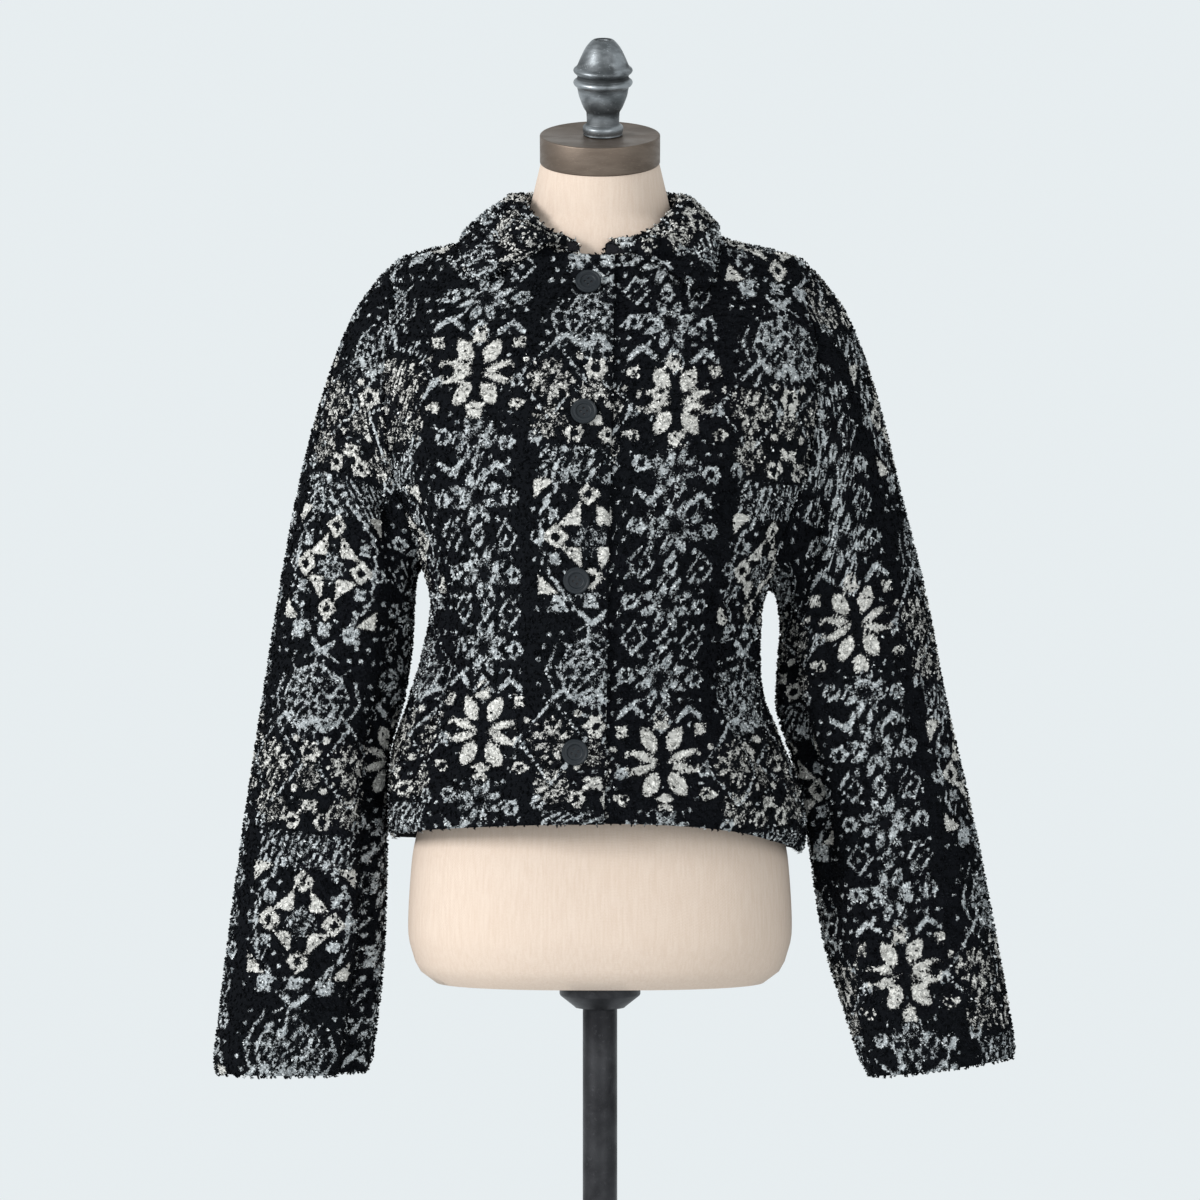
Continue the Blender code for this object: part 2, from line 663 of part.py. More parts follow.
def mesh_object(name, shape, group, material):
    """Turn a bmesh into a named object with its material, its faces pointing out."""
    bmesh.ops.recalc_face_normals(shape, faces=shape.faces)
    mesh = bpy.data.meshes.new(name)
    shape.to_mesh(mesh)
    shape.free()
    made = bpy.data.objects.new(name, mesh)
    group.objects.link(made)
    mesh.materials.append(material)
    mesh.shade_smooth()
    return made


def wall_object(name, outer, inner, closed, group, material):
    """A cloth wall between an outer and an inner grid; closed joins last column to first."""
    shape = bmesh.new()
    faces = [[[shape.verts.new(p) for p in line] for line in grid] for grid in (outer, inner)]
    rows, columns = len(outer), len(outer[0])
    spans = columns if closed else columns - 1
    for row in range(rows - 1):
        for column in range(spans):
            after = (column + 1) % columns
            for grid in faces:
                low, high = grid[row], grid[row + 1]
                shape.faces.new((low[column], low[after], high[after], high[column]))
    for row in (0, rows - 1):
        for column in range(spans):
            after = (column + 1) % columns
            near, far = faces[0][row], faces[1][row]
            shape.faces.new((near[column], near[after], far[after], far[column]))
    if not closed:
        for column in (0, columns - 1):
            for row in range(rows - 1):
                near, far = faces[0], faces[1]
                shape.faces.new(
                    (near[row][column], near[row + 1][column], far[row + 1][column], far[row][column])
                )
    return mesh_object(name, shape, group, material)


def loft_object(name, rings, group, material):
    """A solid through rings of points, closed flat at both ends."""
    shape = bmesh.new()
    verts = [[shape.verts.new(p) for p in ring] for ring in rings]
    count = len(verts[0])
    for low, high in zip(verts, verts[1:]):
        for i in range(count):
            after = (i + 1) % count
            shape.faces.new((low[i], low[after], high[after], high[i]))
    shape.faces.new(verts[0])
    shape.faces.new(verts[-1])
    return mesh_object(name, shape, group, material)


def turned_object(name, profile, segments, group, material):
    """A solid turned about Z from a profile that runs down its outer side."""
    mesh = bpy.data.meshes.new(name)
    points = [(point.radius, 0, point.height) for point in profile]
    mesh.from_pydata(points, [(i, i + 1) for i in range(len(points) - 1)], [])
    made = bpy.data.objects.new(name, mesh)
    group.objects.link(made)
    mesh.materials.append(material)
    screw = made.modifiers.new("Turn", "SCREW")
    screw.steps = segments
    screw.render_steps = segments
    screw.use_merge_vertices = True
    screw.merge_threshold = 0.00005
    screw.use_smooth_shade = True
    return made


# Dress form and stand


def make_torso(group, material):
    rings = []
    for z in TORSO_RING_HEIGHTS:
        inset = TORSO_EDGE_INSET if z == FORM_BOTTOM else 0.0
        ring = []
        for i in range(TORSO_SEGMENTS):
            point = form_point(360 * i / TORSO_SEGMENTS, z)
            flat = Vector((point.x, point.y, 0))
            ring.append(point - flat.normalized() * inset)
        rings.append(ring)
    last = rings[-1]
    for step in range(1, NECK_RINGS + 1):
        share = step / NECK_RINGS
        ring = []
        for i in range(TORSO_SEGMENTS):
            turn = 2 * math.pi * i / TORSO_SEGMENTS
            spoke = Vector((math.cos(turn), -math.sin(turn), 0)) * NECK_TOP_RADIUS
            top = NECK_TOP + Matrix.Rotation(NECK_TILT, 3, "X") @ spoke
            ring.append(last[i].lerp(top, share))
        rings.append(ring)
    return loft_object("form_torso", rings, group, material)


def make_neck_cap(group, material):
    axis = Matrix.Rotation(NECK_TILT, 3, "X") @ Vector((0, 0, 1))
    middle = NECK_TOP + axis * (TOUCH + CAP_HEIGHT / 2)
    bpy.ops.mesh.primitive_cylinder_add(
        vertices=STAND_SEGMENTS, radius=CAP_RADIUS, depth=CAP_HEIGHT, location=middle,
        rotation=(NECK_TILT, 0, 0),
    )
    cap = bpy.context.object
    cap.name = "form_neck_cap"
    bevel = cap.modifiers.new("Edge", "BEVEL")
    bevel.width = CAP_EDGE
    bevel.segments = 1
    cap.data.materials.append(material)
    move_to(cap, group)
    return cap


def move_to(made, group):
    for old in list(made.users_collection):
        old.objects.unlink(made)
    group.objects.link(made)


def make_finial(group, material):
    finial = turned_object("form_finial", FINIAL_PROFILE, FINIAL_SEGMENTS, group, material)
    axis = Matrix.Rotation(NECK_TILT, 3, "X") @ Vector((0, 0, 1))
    finial.location = NECK_TOP + axis * (2 * TOUCH + CAP_HEIGHT) + Vector((FINIAL_ASIDE, 0, 0))
    finial.rotation_euler = (NECK_TILT, 0, 0)
    return finial


def make_stand(group, material):
    """A round foot with a hub, a pole, and a socket under the torso."""
    foot_profile = (
        FinialPoint(0.0, HUB_TOP),
        FinialPoint(HUB_RADIUS * 0.8, HUB_TOP),
        FinialPoint(HUB_RADIUS, HUB_TOP - 0.005),
        FinialPoint(HUB_RADIUS * 1.15, FOOT_THICKNESS + 0.012),
        FinialPoint(HUB_RADIUS * 1.9, FOOT_THICKNESS + 0.003),
        FinialPoint(FOOT_RADIUS - 0.006, FOOT_THICKNESS),
        FinialPoint(FOOT_RADIUS, FOOT_THICKNESS - 0.005),
        FinialPoint(FOOT_RADIUS, 0.002),
        FinialPoint(FOOT_RADIUS - 0.002, 0.0),
        FinialPoint(0.0, 0.0),
    )
    turned_object("stand_foot", foot_profile, STAND_SEGMENTS, group, material)
    socket_top = FORM_BOTTOM - TOUCH
    socket_profile = (
        FinialPoint(0.0, socket_top),
        FinialPoint(SOCKET_RADIUS, socket_top),
        FinialPoint(SOCKET_RADIUS, socket_top - SOCKET_HEIGHT * 0.5),
        FinialPoint(SOCKET_RADIUS * 0.62, socket_top - SOCKET_HEIGHT),
        FinialPoint(0.0, socket_top - SOCKET_HEIGHT),
    )
    turned_object("stand_socket", socket_profile, STAND_SEGMENTS, group, material)
    pole_low = HUB_TOP + TOUCH
    pole_high = socket_top - SOCKET_HEIGHT - TOUCH
    bpy.ops.mesh.primitive_cylinder_add(
        vertices=16, radius=POLE_RADIUS, depth=pole_high - pole_low,
        location=(0, 0, (pole_low + pole_high) / 2),
    )
    pole = bpy.context.object
    pole.name = "stand_pole"
    pole.data.materials.append(material)
    move_to(pole, group)


# Coat


def make_fronts(group, material):
    """The two front panels. Returns their outer grids for what lies on them."""
    grids = {}
    for side, name in ((1, "front_left"), (-1, "front_right")):
        lift = overlap_lift if side < 0 else None
        outer, inner = panel_points(front_places(side), lift)
        grids[side] = outer
        outer, inner = [list(line) for line in outer], [list(line) for line in inner]
        for grid in (outer, inner):
            trim_side(grid, 0, 1, SEAM_GAP / 2)
            trim_shoulder(grid, 0, 1)
        wall_object(name, outer, inner, False, group, material)
    return grids


def make_back(group, material):
    outer, inner = panel_points(back_places())
    grid = [list(line) for line in outer]
    for lines in (outer, inner):
        trim_side(lines, 0, 1, SEAM_GAP / 2)
        trim_side(lines, -1, -2, SEAM_GAP / 2)
        trim_shoulder(lines, 0, 1)
        trim_shoulder(lines, len(lines[0]) - 1, -1)
    wall_object("back", outer, inner, False, group, material)
    return grid


def armhole_ring(side):
    """Outer and inner points of the sleeve's first ring, just outside the armhole's edge.

    It starts at the shoulder tip and goes down the front, then up the back.
    """
    rows = range(LOWER_ROWS, LOWER_ROWS + ARMHOLE_ROWS + 1)
    front = [edge_place(side, True, row) for row in reversed(rows)]
    back = [edge_place(side, False, row) for row in rows]
    places = front + back[1:-1]
    edge = [coat_point(angle, z) for angle, z in places]
    outer, inner = [], []
    for index, (angle, z) in enumerate(places):
        normal = outward(coat_point, angle, z)
        run = edge[(index + 1) % len(edge)] - edge[index - 1]
        away = normal.cross(run).normalized() * side
        outer.append(edge[index] + away * SEAM_GAP)
        inner.append(edge[index] + away * SEAM_GAP - normal * WALL)
    return outer, inner


def sleeve_fold(folds, angle, along):
    total = 0.0
    for fold in folds:
        up = along - fold.along
        aside = (angle - fold.angle - fold.slant * up + 180) % 360 - 180
        reach = 2 * up / fold.length
        if abs(reach) < 1:
            total += fold.rise * (1 - reach * reach) ** 2 * math.exp(-((aside / fold.width) ** 2))
    return total


def make_sleeve(side, name, stations, folds, group, material):
    """A tube from the armhole to the cuff, hung empty beside the body."""
    ring_outer, ring_inner = armhole_ring(side)
    count = 2 * ARMHOLE_ROWS

    def smooth_ring(angle, along):
        row = read_table(stations, "along", along)
        outer = Vector((side * row.outer_x, row.y, row.outer_z))
        inner = Vector((side * row.inner_x, row.y, row.inner_z))
        across = (outer - inner) / 2
        turn = math.radians(angle)
        bulge = 1 + sleeve_fold(folds, angle, along) / row.half_depth
        swing = across * rounded(math.cos(turn), SLEEVE_SQUARENESS)
        swing.y -= row.half_depth * rounded(math.sin(turn), SLEEVE_SQUARENESS)
        return (outer + inner) / 2 + swing * bulge

    shifts = [ring_outer[i] - smooth_ring(360 * i / count, 0.0) for i in range(count)]

    def sleeve_point(angle, along):
        fade = max(0.0, 1 - along / ARMHOLE_SHAPE_FADES) ** 2
        place = (angle % 360) * count / 360
        low = int(place)
        shift = shifts[low % count].lerp(shifts[(low + 1) % count], place - low)
        return smooth_ring(angle, along) + shift * fade

    outer, inner = [ring_outer], [ring_inner]
    for row in range(1, SLEEVE_ROWS + 1):
        along = (row / SLEEVE_ROWS) ** 1.12
        points, walls = [], []
        for i in range(count):
            angle = 360 * i / count
            point = sleeve_point(angle, along)
            round_it = sleeve_point(angle + 4, along) - sleeve_point(angle - 4, along)
            down = sleeve_point(angle, min(1.0, along + 0.01)) - sleeve_point(angle, along - 0.01)
            normal = round_it.cross(down).normalized() * side
            points.append(point)
            walls.append(point - normal * WALL)
        outer.append(points)
        inner.append(walls)
    wall_object(name, outer, inner, True, group, material)
    return outer


def grid_tree(grids):
    """A tree for finding the nearest outer face of several grids of points."""
    points, faces = [], []
    for grid, flip in grids:
        base, columns = len(points), len(grid[0])
        points += [p for line in grid for p in line]
        for row in range(len(grid) - 1):
            for column in range(columns - 1):
                corner = base + row * columns + column
                face = (corner, corner + 1, corner + columns + 1, corner + columns)
                faces.append(tuple(reversed(face)) if flip else face)
    return BVHTree.FromPolygons(points, faces)


def collar_turns():
    """Turns of the collar's columns, the same as those of the panels along the neck seam."""
    first, last = COLLAR_STATIONS[0].turn, COLLAR_STATIONS[-1].turn
    turns = []
    for start, end, columns in (
        (180, turn_at_x(OVERLAP_EDGE_TOP), FRONT_NECK_COLUMNS),
        (180, 270, BACK_NECK_COLUMNS),
        (270, 360, BACK_NECK_COLUMNS),
        (360, 360 + turn_at_x(-UNDERLAP), FRONT_NECK_COLUMNS),
    ):
        turns += [mix(start, end, column / columns) for column in range(columns + 1)]
    inside = {round(t, 4) for t in turns if first + COLLAR_END_SPAN < t < last - COLLAR_END_SPAN}
    return [first] + sorted(inside) + [last]


def raise_above(grid, tree, clear, first):
    """Lift a grid's steps from the first one on until its cells clear the panels below."""
    for _ in range(RAISE_ROUNDS):
        for near, far in zip(grid, grid[1:]):
            for step in range(first, len(near) - 1):
                lift, way = 0.0, None
                for s, t in ((0, 0), (0.5, 0), (1, 0), (0, 0.5), (0.5, 0.5), (1, 0.5), (0.5, 1), (1, 1)):
                    low = near[step].lerp(near[step + 1], s)
                    high = far[step].lerp(far[step + 1], s)
                    spot = low.lerp(high, t)
                    hit, face, _, _ = tree.find_nearest(spot)
                    short = clear - (spot - hit).dot(face)
                    if short > lift:
                        lift, way = short, face
                if way:
                    for line in (near, far):
                        line[step + 1] = line[step + 1] + way * lift * 0.7
                        if step > first:
                            line[step] = line[step] + way * lift * 0.7


def make_collar(grids, group, material):
    """One wall: a stand from the neck seam, a roll, and a fall down to the collar's edge."""
    tree = grid_tree(grids)
    clear = COLLAR_WALL / 2 + COLLAR_GAP
    middle, seams = [], []
    for turn in collar_turns():
        row = read_table(COLLAR_STATIONS, "turn", turn)
        angle, z = neck_place(turn)
        point, normal = coat_point(angle, z), outward(coat_point, angle, z)
        if turn < 180:
            point = point + normal * overlap_lift(point.x, z)
        up = (coat_point(angle, z) - coat_point(angle, z - 0.002)).normalized()
        seam_outer = point + up * NECK_SEAM_GAP
        seams.append((seam_outer, seam_outer - normal * WALL))
        root = seam_outer - normal * WALL / 2
        near, face, _, _ = tree.find_nearest(Vector((row.edge_x, row.edge_y, row.edge_z)))
        edge = near + face * row.edge_lift
        out = Vector((edge.x - root.x, edge.y - root.y, 0)).normalized()
        inward = Vector((-root.x, -root.y, 0)).normalized()
        roll = min(COLLAR_ROLL, row.rise * 0.55)
        stand = root + Vector((0, 0, row.rise - roll)) + inward * row.lean
        line = [root, root.lerp(stand, 0.5), stand]
        for step in range(1, COLLAR_ROLL_STEPS + 1):
            turn = math.pi * 0.8 * step / COLLAR_ROLL_STEPS
            centre = stand + out * roll
            line.append(centre + (Vector((0, 0, math.sin(turn))) - out * math.cos(turn)) * roll)
        start = line[-1]
        knee = start.lerp(edge, 0.5) + Vector((0, 0, COLLAR_FALL_FULLNESS)) + out * COLLAR_FALL_SPREAD
        for step in range(1, COLLAR_FALL_STEPS + 1):
            t = step / COLLAR_FALL_STEPS
            spot = start * (1 - t) ** 2 + knee * 2 * t * (1 - t) + edge * t * t
            line.append(spot)
        middle.append(line)
    raise_above(middle, tree, clear, len(middle[0]) - COLLAR_FALL_STEPS - 1)
    outer, inner = [], []
    for column, line in enumerate(middle):
        before, after = middle[max(0, column - 1)], middle[min(len(middle) - 1, column + 1)]
        faces_out, faces_in = [seams[column][1]], [seams[column][0]]
        for step in range(1, len(line)):
            along = after[step] - before[step]
            down = line[min(len(line) - 1, step + 1)] - line[step - 1]
            normal = along.cross(down).normalized()
            faces_out.append(line[step] + normal * COLLAR_WALL / 2)
            faces_in.append(line[step] - normal * COLLAR_WALL / 2)
        outer.append(faces_out)
        inner.append(faces_in)
    return wall_object("collar", outer, inner, False, group, material)


def resting_height(tree, centre, normal):
    """How far a button at this centre has to move out to clear the panel under it."""
    turn = normal.to_track_quat("Z", "Y")
    heights = []
    for step in range(BUTTON_SEGMENTS):
        for reach in (0.0, 0.5, 1.0):
            spoke = Vector((reach * BUTTON_RADIUS, 0, 0))
            spoke.rotate(Matrix.Rotation(2 * math.pi * step / BUTTON_SEGMENTS, 3, "Z"))
            spot = centre + turn @ spoke
            hit = tree.ray_cast(spot + normal * 0.02, -normal)[0]
            if hit:
                heights.append((hit - spot).dot(normal))
    return max(heights) + BUTTON_GAP


def make_button(index, place, tree, group, cutters, material):
    """A four-hole button with a raised rim, lying on the right front."""
    name = f"button_{index}"
    button = turned_object(name, BUTTON_PROFILE, BUTTON_SEGMENTS, group, material)
    angle = angle_for(place.x, place.z)
    normal = outward(coat_point, angle, place.z)
    centre = coat_point(angle, place.z)
    button.location = centre + normal * resting_height(tree, centre, normal)
    button.rotation_mode = "QUATERNION"
    button.rotation_quaternion = normal.to_track_quat("Z", "Y")
    bpy.context.view_layer.update()
    shape = bmesh.new()
    for corner in range(4):
        turn = math.pi / 4 + corner * math.pi / 2
        spot = Vector((math.cos(turn), math.sin(turn), 0)) * BUTTON_HOLE_SPREAD
        bmesh.ops.create_cone(
            shape, cap_ends=True, segments=6, radius1=BUTTON_HOLE_RADIUS,
            radius2=BUTTON_HOLE_RADIUS, depth=0.010, matrix=Matrix.Translation(spot),
        )
    cutter = mesh_object(f"{name}_holes", shape, cutters, material)
    cutter.matrix_world = button.matrix_world
    cutter.hide_render = True
    cutter.display_type = "WIRE"
    cut = button.modifiers.new("Holes", "BOOLEAN")
    cut.operation = "DIFFERENCE"
    cut.object = cutter
    return button


def main():
    clear_scene()
    group = new_collection("cardigan_on_dress_form")
    cutters = new_collection("cutters")
    fleece = new_material("fleece", (0.045, 0.050, 0.058), 0.95)
    linen = new_material("linen", (0.74, 0.62, 0.50), 0.85)
    bronze = new_material("bronze", (0.19, 0.155, 0.13), 0.45, 0.9)
    zinc = new_material("zinc", (0.30, 0.32, 0.33), 0.5, 0.9)
    iron = new_material("iron", (0.05, 0.05, 0.052), 0.5, 0.6)
    plastic = new_material("button_plastic", (0.035, 0.042, 0.048), 0.42)

    make_torso(group, linen)
    make_neck_cap(group, bronze)
    make_finial(group, zinc)
    make_stand(group, iron)

    fronts = make_fronts(group, fleece)
    back = make_back(group, fleece)
    make_sleeve(1, "sleeve_left", LEFT_SLEEVE, LEFT_SLEEVE_FOLDS, group, fleece)
    make_sleeve(-1, "sleeve_right", RIGHT_SLEEVE, RIGHT_SLEEVE_FOLDS, group, fleece)
    make_collar([(fronts[1], True), (fronts[-1], False), (back, True)], group, fleece)
    front_tree = grid_tree([(fronts[-1], False)])
    for index, place in enumerate(BUTTON_PLACES, start=1):
        make_button(index, place, front_tree, group, cutters, plastic)


main()
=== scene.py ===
"""Looks of a printed fleece cardigan that hangs, buttoned up, on a limbless dress form.

Sizes are in metres, and in tables and profiles in thousandths. +Z is up and the coat's front
looks along -Y. Right and left are the wearer's, so right is -X. Angles round the body are in
degrees: 0 is the left side, 90 the front, 180 the right side and 270 the back.
"""

from __future__ import annotations

import json
import logging
import math
from collections.abc import Callable
from dataclasses import dataclass, field
from enum import Enum

import bpy
import numpy as np
from mathutils import Matrix, Vector
from mathutils.bvhtree import BVHTree

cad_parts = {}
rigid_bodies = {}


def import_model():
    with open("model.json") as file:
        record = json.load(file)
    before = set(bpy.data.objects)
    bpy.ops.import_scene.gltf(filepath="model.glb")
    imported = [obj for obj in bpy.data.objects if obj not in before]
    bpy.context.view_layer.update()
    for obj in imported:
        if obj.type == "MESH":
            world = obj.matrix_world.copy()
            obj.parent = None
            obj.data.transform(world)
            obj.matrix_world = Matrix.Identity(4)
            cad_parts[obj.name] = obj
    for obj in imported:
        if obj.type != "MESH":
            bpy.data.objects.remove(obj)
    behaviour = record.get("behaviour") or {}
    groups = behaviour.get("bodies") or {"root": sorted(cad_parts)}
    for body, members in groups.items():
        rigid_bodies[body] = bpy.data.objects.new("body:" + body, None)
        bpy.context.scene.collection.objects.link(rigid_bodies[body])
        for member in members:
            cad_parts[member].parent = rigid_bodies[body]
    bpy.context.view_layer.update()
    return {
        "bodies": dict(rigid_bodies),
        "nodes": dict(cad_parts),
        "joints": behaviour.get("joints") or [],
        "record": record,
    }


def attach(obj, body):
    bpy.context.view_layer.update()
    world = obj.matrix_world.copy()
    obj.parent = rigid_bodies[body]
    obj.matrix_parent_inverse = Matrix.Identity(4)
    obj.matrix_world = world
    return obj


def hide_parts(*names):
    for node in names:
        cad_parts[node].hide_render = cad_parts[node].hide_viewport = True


log = logging.getLogger("cardigan")

Array = np.ndarray
Colour = tuple[float, float, float, float]
Material = bpy.types.Material
Pair = tuple[Colour, Colour]
Piece = bpy.types.Object
Profile = tuple[tuple[float, float], ...]
Socket = bpy.types.NodeSocket
BODY = "root"
SEED = 7
NO_INK = -0.004


class Ink(Enum):
    """Colours of the print."""

    BLUE = "blue"
    CREAM = "cream"


class Side(Enum):
    """The wearer's side, with its sign along X."""

    LEFT = 1
    RIGHT = -1


# Small sums


def smooth_step(low: float, high: float, value: Array) -> Array:
    """Soft ramp from 0 at low to 1 at high."""
    share = np.clip((np.asarray(value, float) - low) / (high - low), 0.0, 1.0)
    return share * share * (3 - 2 * share)


def mix(first: Array, second: Array, share: Array) -> Array:
    """Value between first and second."""
    return first + (second - first) * share


def unit(vectors: Array) -> Array:
    """Vectors made one metre long."""
    return vectors / np.maximum(np.linalg.norm(vectors, axis=-1, keepdims=True), 1e-12)


def dot(first: Array, second: Array) -> Array:
    """Dot product along the last axis, which is kept."""
    return (first * second).sum(-1, keepdims=True)


def bent(value: Array, squareness: Array) -> Array:
    """A sine or cosine bent so that an ellipse made from it has fuller corners."""
    return np.sign(value) * np.abs(value) ** (2 / squareness)


def lattice_noise(across: Array, up: Array, pitch: float, seed: int) -> Array:
    """Soft noise from -1 to 1 that changes over about one pitch.

    Args:
        across: places across the cloth.
        up: places up the cloth.
        pitch: size of the noise's features.
        seed: number that picks the noise.

    Returns:
        The noise at each place.
    """
    wrap = 256
    table = np.random.default_rng(seed).uniform(-1, 1, (wrap + 1, wrap + 1))
    x, y = across / pitch, up / pitch
    i, j = np.floor(x).astype(int), np.floor(y).astype(int)
    s, t = x - i, y - j
    s, t = s * s * (3 - 2 * s), t * t * (3 - 2 * t)
    i, j = i % wrap, j % wrap
    low = mix(table[i, j], table[i + 1, j], s)
    high = mix(table[i, j + 1], table[i + 1, j + 1], s)
    return mix(low, high, t)


def curve(start: Array, end: Array, out: Array, into: Array, t: Array) -> Array:
    """Points at shares t of the smooth way from start to end, with a slope for each end."""
    first = start * (2 * t**3 - 3 * t**2 + 1) + out * (t**3 - 2 * t**2 + t)
    return first + end * (3 * t**2 - 2 * t**3) + into * (t**3 - t**2)


class Table:
    """Rows of sizes under named columns, read on smooth curves that don't overshoot."""

    def __init__(
        self, columns: str, rows: tuple[tuple[float, ...], ...], unit: float = 1000
    ) -> None:
        """Keep the rows and work out the slope at each.

        Args:
            columns: the columns' names, the first of them for the key.
            rows: thousandths of every size, with the keys in rising order.
            unit: what the keys are divided by instead.
        """
        self.columns = columns.split()
        self.rows = np.array(rows, float) / ([unit] + [1000] * (len(self.columns) - 1))
        self.keys = self.rows[:, 0]
        rates = np.diff(self.rows, axis=0) / np.diff(self.keys)[:, None]
        before, after = rates[:-1], rates[1:]
        same = before * after > 0
        total = np.where(same, before + after, 1.0)
        inner = np.where(same, 2 * before * after / total, 0.0)
        self.slopes = np.concatenate([rates[:1], inner, rates[-1:]])

    def at(self, key: Array) -> dict[str, Array]:
        """Every column at the given keys.

        Args:
            key: one key or an array of them.

        Returns:
            The values under each column's name.
        """
        key = np.clip(np.asarray(key, float), self.keys[0], self.keys[-1])
        low = np.clip(np.searchsorted(self.keys, key, side="right") - 1, 0, len(self.keys) - 2)
        run = (self.keys[low + 1] - self.keys[low])[..., None]
        t = (key - self.keys[low])[..., None] / run
        start, end = self.rows[low], self.rows[low + 1]
        out, into = self.slopes[low] * run, self.slopes[low + 1] * run
        value = curve(start, end, out, into, t)
        return {name: value[..., i] for i, name in enumerate(self.columns)}


def refine(grid: Array, times: int, breaks: tuple[int, ...], axis: int) -> Array:
    """A grid with more lines along one axis, on smooth curves between the breaks.

    Args:
        grid: points or places, with rows and columns first.
        times: how many steps each old step becomes.
        breaks: old lines where a corner is kept, the ends left out.
        axis: 0 for rows and 1 for columns.

    Returns:
        The finer grid.
    """
    grid = np.moveaxis(grid, axis, 0)
    stops = [0, *breaks, len(grid) - 1]
    lines = []
    for first, last in zip(stops, stops[1:]):
        part = grid[first : last + 1]
        slope = np.empty_like(part)
        slope[1:-1] = (part[2:] - part[:-2]) / 2
        if len(part) > 2:
            slope[0] = 2 * (part[1] - part[0]) - slope[1]
            slope[-1] = 2 * (part[-1] - part[-2]) - slope[-2]
        else:
            slope[:] = part[1] - part[0]
        for low in range(len(part) - 1):
            for step in range(times):
                ends = (part[low], part[low + 1], slope[low], slope[low + 1])
                lines.append(curve(*ends, step / times))
    lines.append(grid[-1])
    return np.moveaxis(np.array(lines), 0, axis)


def flatten(points: Array, start: Array, rounds: int = 900) -> Array:
    """Lay a curved grid out flat with its cells stretched as little as can be.

    Args:
        points: rows by columns of points in space.
        start: the same grid's first guess, flat.
        rounds: how often its springs are relaxed.

    Returns:
        The grid's flat places, across and up.
    """
    flat = start.astype(float).copy()
    straight, slanting, stride = 1.0, 0.6, 1.6
    links = (
        (np.s_[:, :-1], np.s_[:, 1:], straight),
        (np.s_[:-1], np.s_[1:], straight),
        (np.s_[:-1, :-1], np.s_[1:, 1:], slanting),
        (np.s_[:-1, 1:], np.s_[1:, :-1], slanting),
    )
    lengths = [np.linalg.norm(points[b] - points[a], axis=-1, keepdims=True) for a, b, _ in links]
    for _ in range(rounds):
        move, weight = np.zeros_like(flat), np.zeros(flat.shape[:2] + (1,))
        for (a, b, pull), length in zip(links, lengths):
            run = flat[b] - flat[a]
            now = np.maximum(np.linalg.norm(run, axis=-1, keepdims=True), 1e-9)
            step = run * (1 - length / now) / 2 * pull
            move[a] += step
            move[b] -= step
            weight[a] += pull
            weight[b] += pull
        flat += stride * move / weight
    return flat


def grid_normals(points: Array, closed: bool, outward: Array) -> Array:
    """Normals of a grid of points, all turned to one side.

    Args:
        points: rows by columns of points.
        closed: whether the columns go all the way round.
        outward: for each point, a rough direction to the side that is meant.

    Returns:
        A normal for each point.
    """
    if closed:
        across = np.roll(points, -1, 1) - np.roll(points, 1, 1)
    else:
        across = np.gradient(points, axis=1)
    normals = unit(np.cross(across, np.gradient(points, axis=0)))
    return normals * (1.0 if (normals * outward).sum() > 0 else -1.0)


# The dress form's and the coat's shapes


class FormShape:
    """The surface of the padded form from its lower edge up to the neck."""

    stations = Table(
        "z half front back",
        (
            (800, 150, 90, 96), (845, 161, 100, 104), (900, 158, 99, 103), (960, 144, 94, 95),
            (1040, 117, 87, 80), (1100, 121, 97, 82), (1150, 130, 112, 90), (1190, 138, 126, 96),
            (1225, 145, 125, 100), (1270, 152, 111, 102), (1310, 159, 97, 98),
            (1345, 167.5, 83, 91), (1370, 174, 72.5, 83), (1384, 174.5, 67, 77.5),
            (1392, 169, 64.5, 74.3), (1402, 147, 62, 70.5), (1415, 107, 60, 66),
            (1428, 74, 58.5, 61.8), (1436, 63, 57.2, 59.3), (1448, 56, 55.5, 56),
        ),
    )
    neck_top = np.array((0.0, -0.012, 1.486))
    neck_radius = 0.0495
    neck_tilt = math.radians(20)
    bottom = 0.800
    last_ring = 1.438

    def section(self, angle: Array, z: Array, row: dict[str, Array], square: Array) -> Array:
        """Points of one level section, an ellipse with its own front and back depth.

        Args:
            angle: angles round the body.
            z: heights.
            row: the section's half width and its front and back depths.
            square: how full its corners are, with 2 for a plain ellipse.

        Returns:
            The points.
        """
        turn = np.radians(angle)
        across, forward = bent(np.cos(turn), square), bent(np.sin(turn), square)
        depth = np.where(forward > 0, row["front"], row["back"])
        return np.stack([row["half"] * across, -depth * forward, z + 0 * across], -1)

    def point(self, angle: Array, z: Array) -> Array:
        """Points of the form at angles and heights."""
        angle, z = np.broadcast_arrays(np.asarray(angle, float), np.asarray(z, float))
        square = mix(2.3, 2.0, smooth_step(1.330, 1.392, z))
        return self.section(angle, z, self.stations.at(z), square)

    def outward(self, angle: Array, z: Array) -> Array:
        """Normals of the form at angles and heights."""
        return slope_normal(self.point, angle, z)


def slope_normal(surface: Callable[[Array, Array], Array], angle: Array, z: Array) -> Array:
    """Outward normals of a surface that is given by angle and height.

    Args:
        surface: gives the surface's points at angles and heights.
        angle: angles round the body.
        z: heights.

    Returns:
        A normal for each place.
    """
    round_it = surface(angle + 0.4, z) - surface(angle - 0.4, z)
    up = surface(angle, z + 0.0005) - surface(angle, z - 0.0005)
    return unit(np.cross(up, round_it))


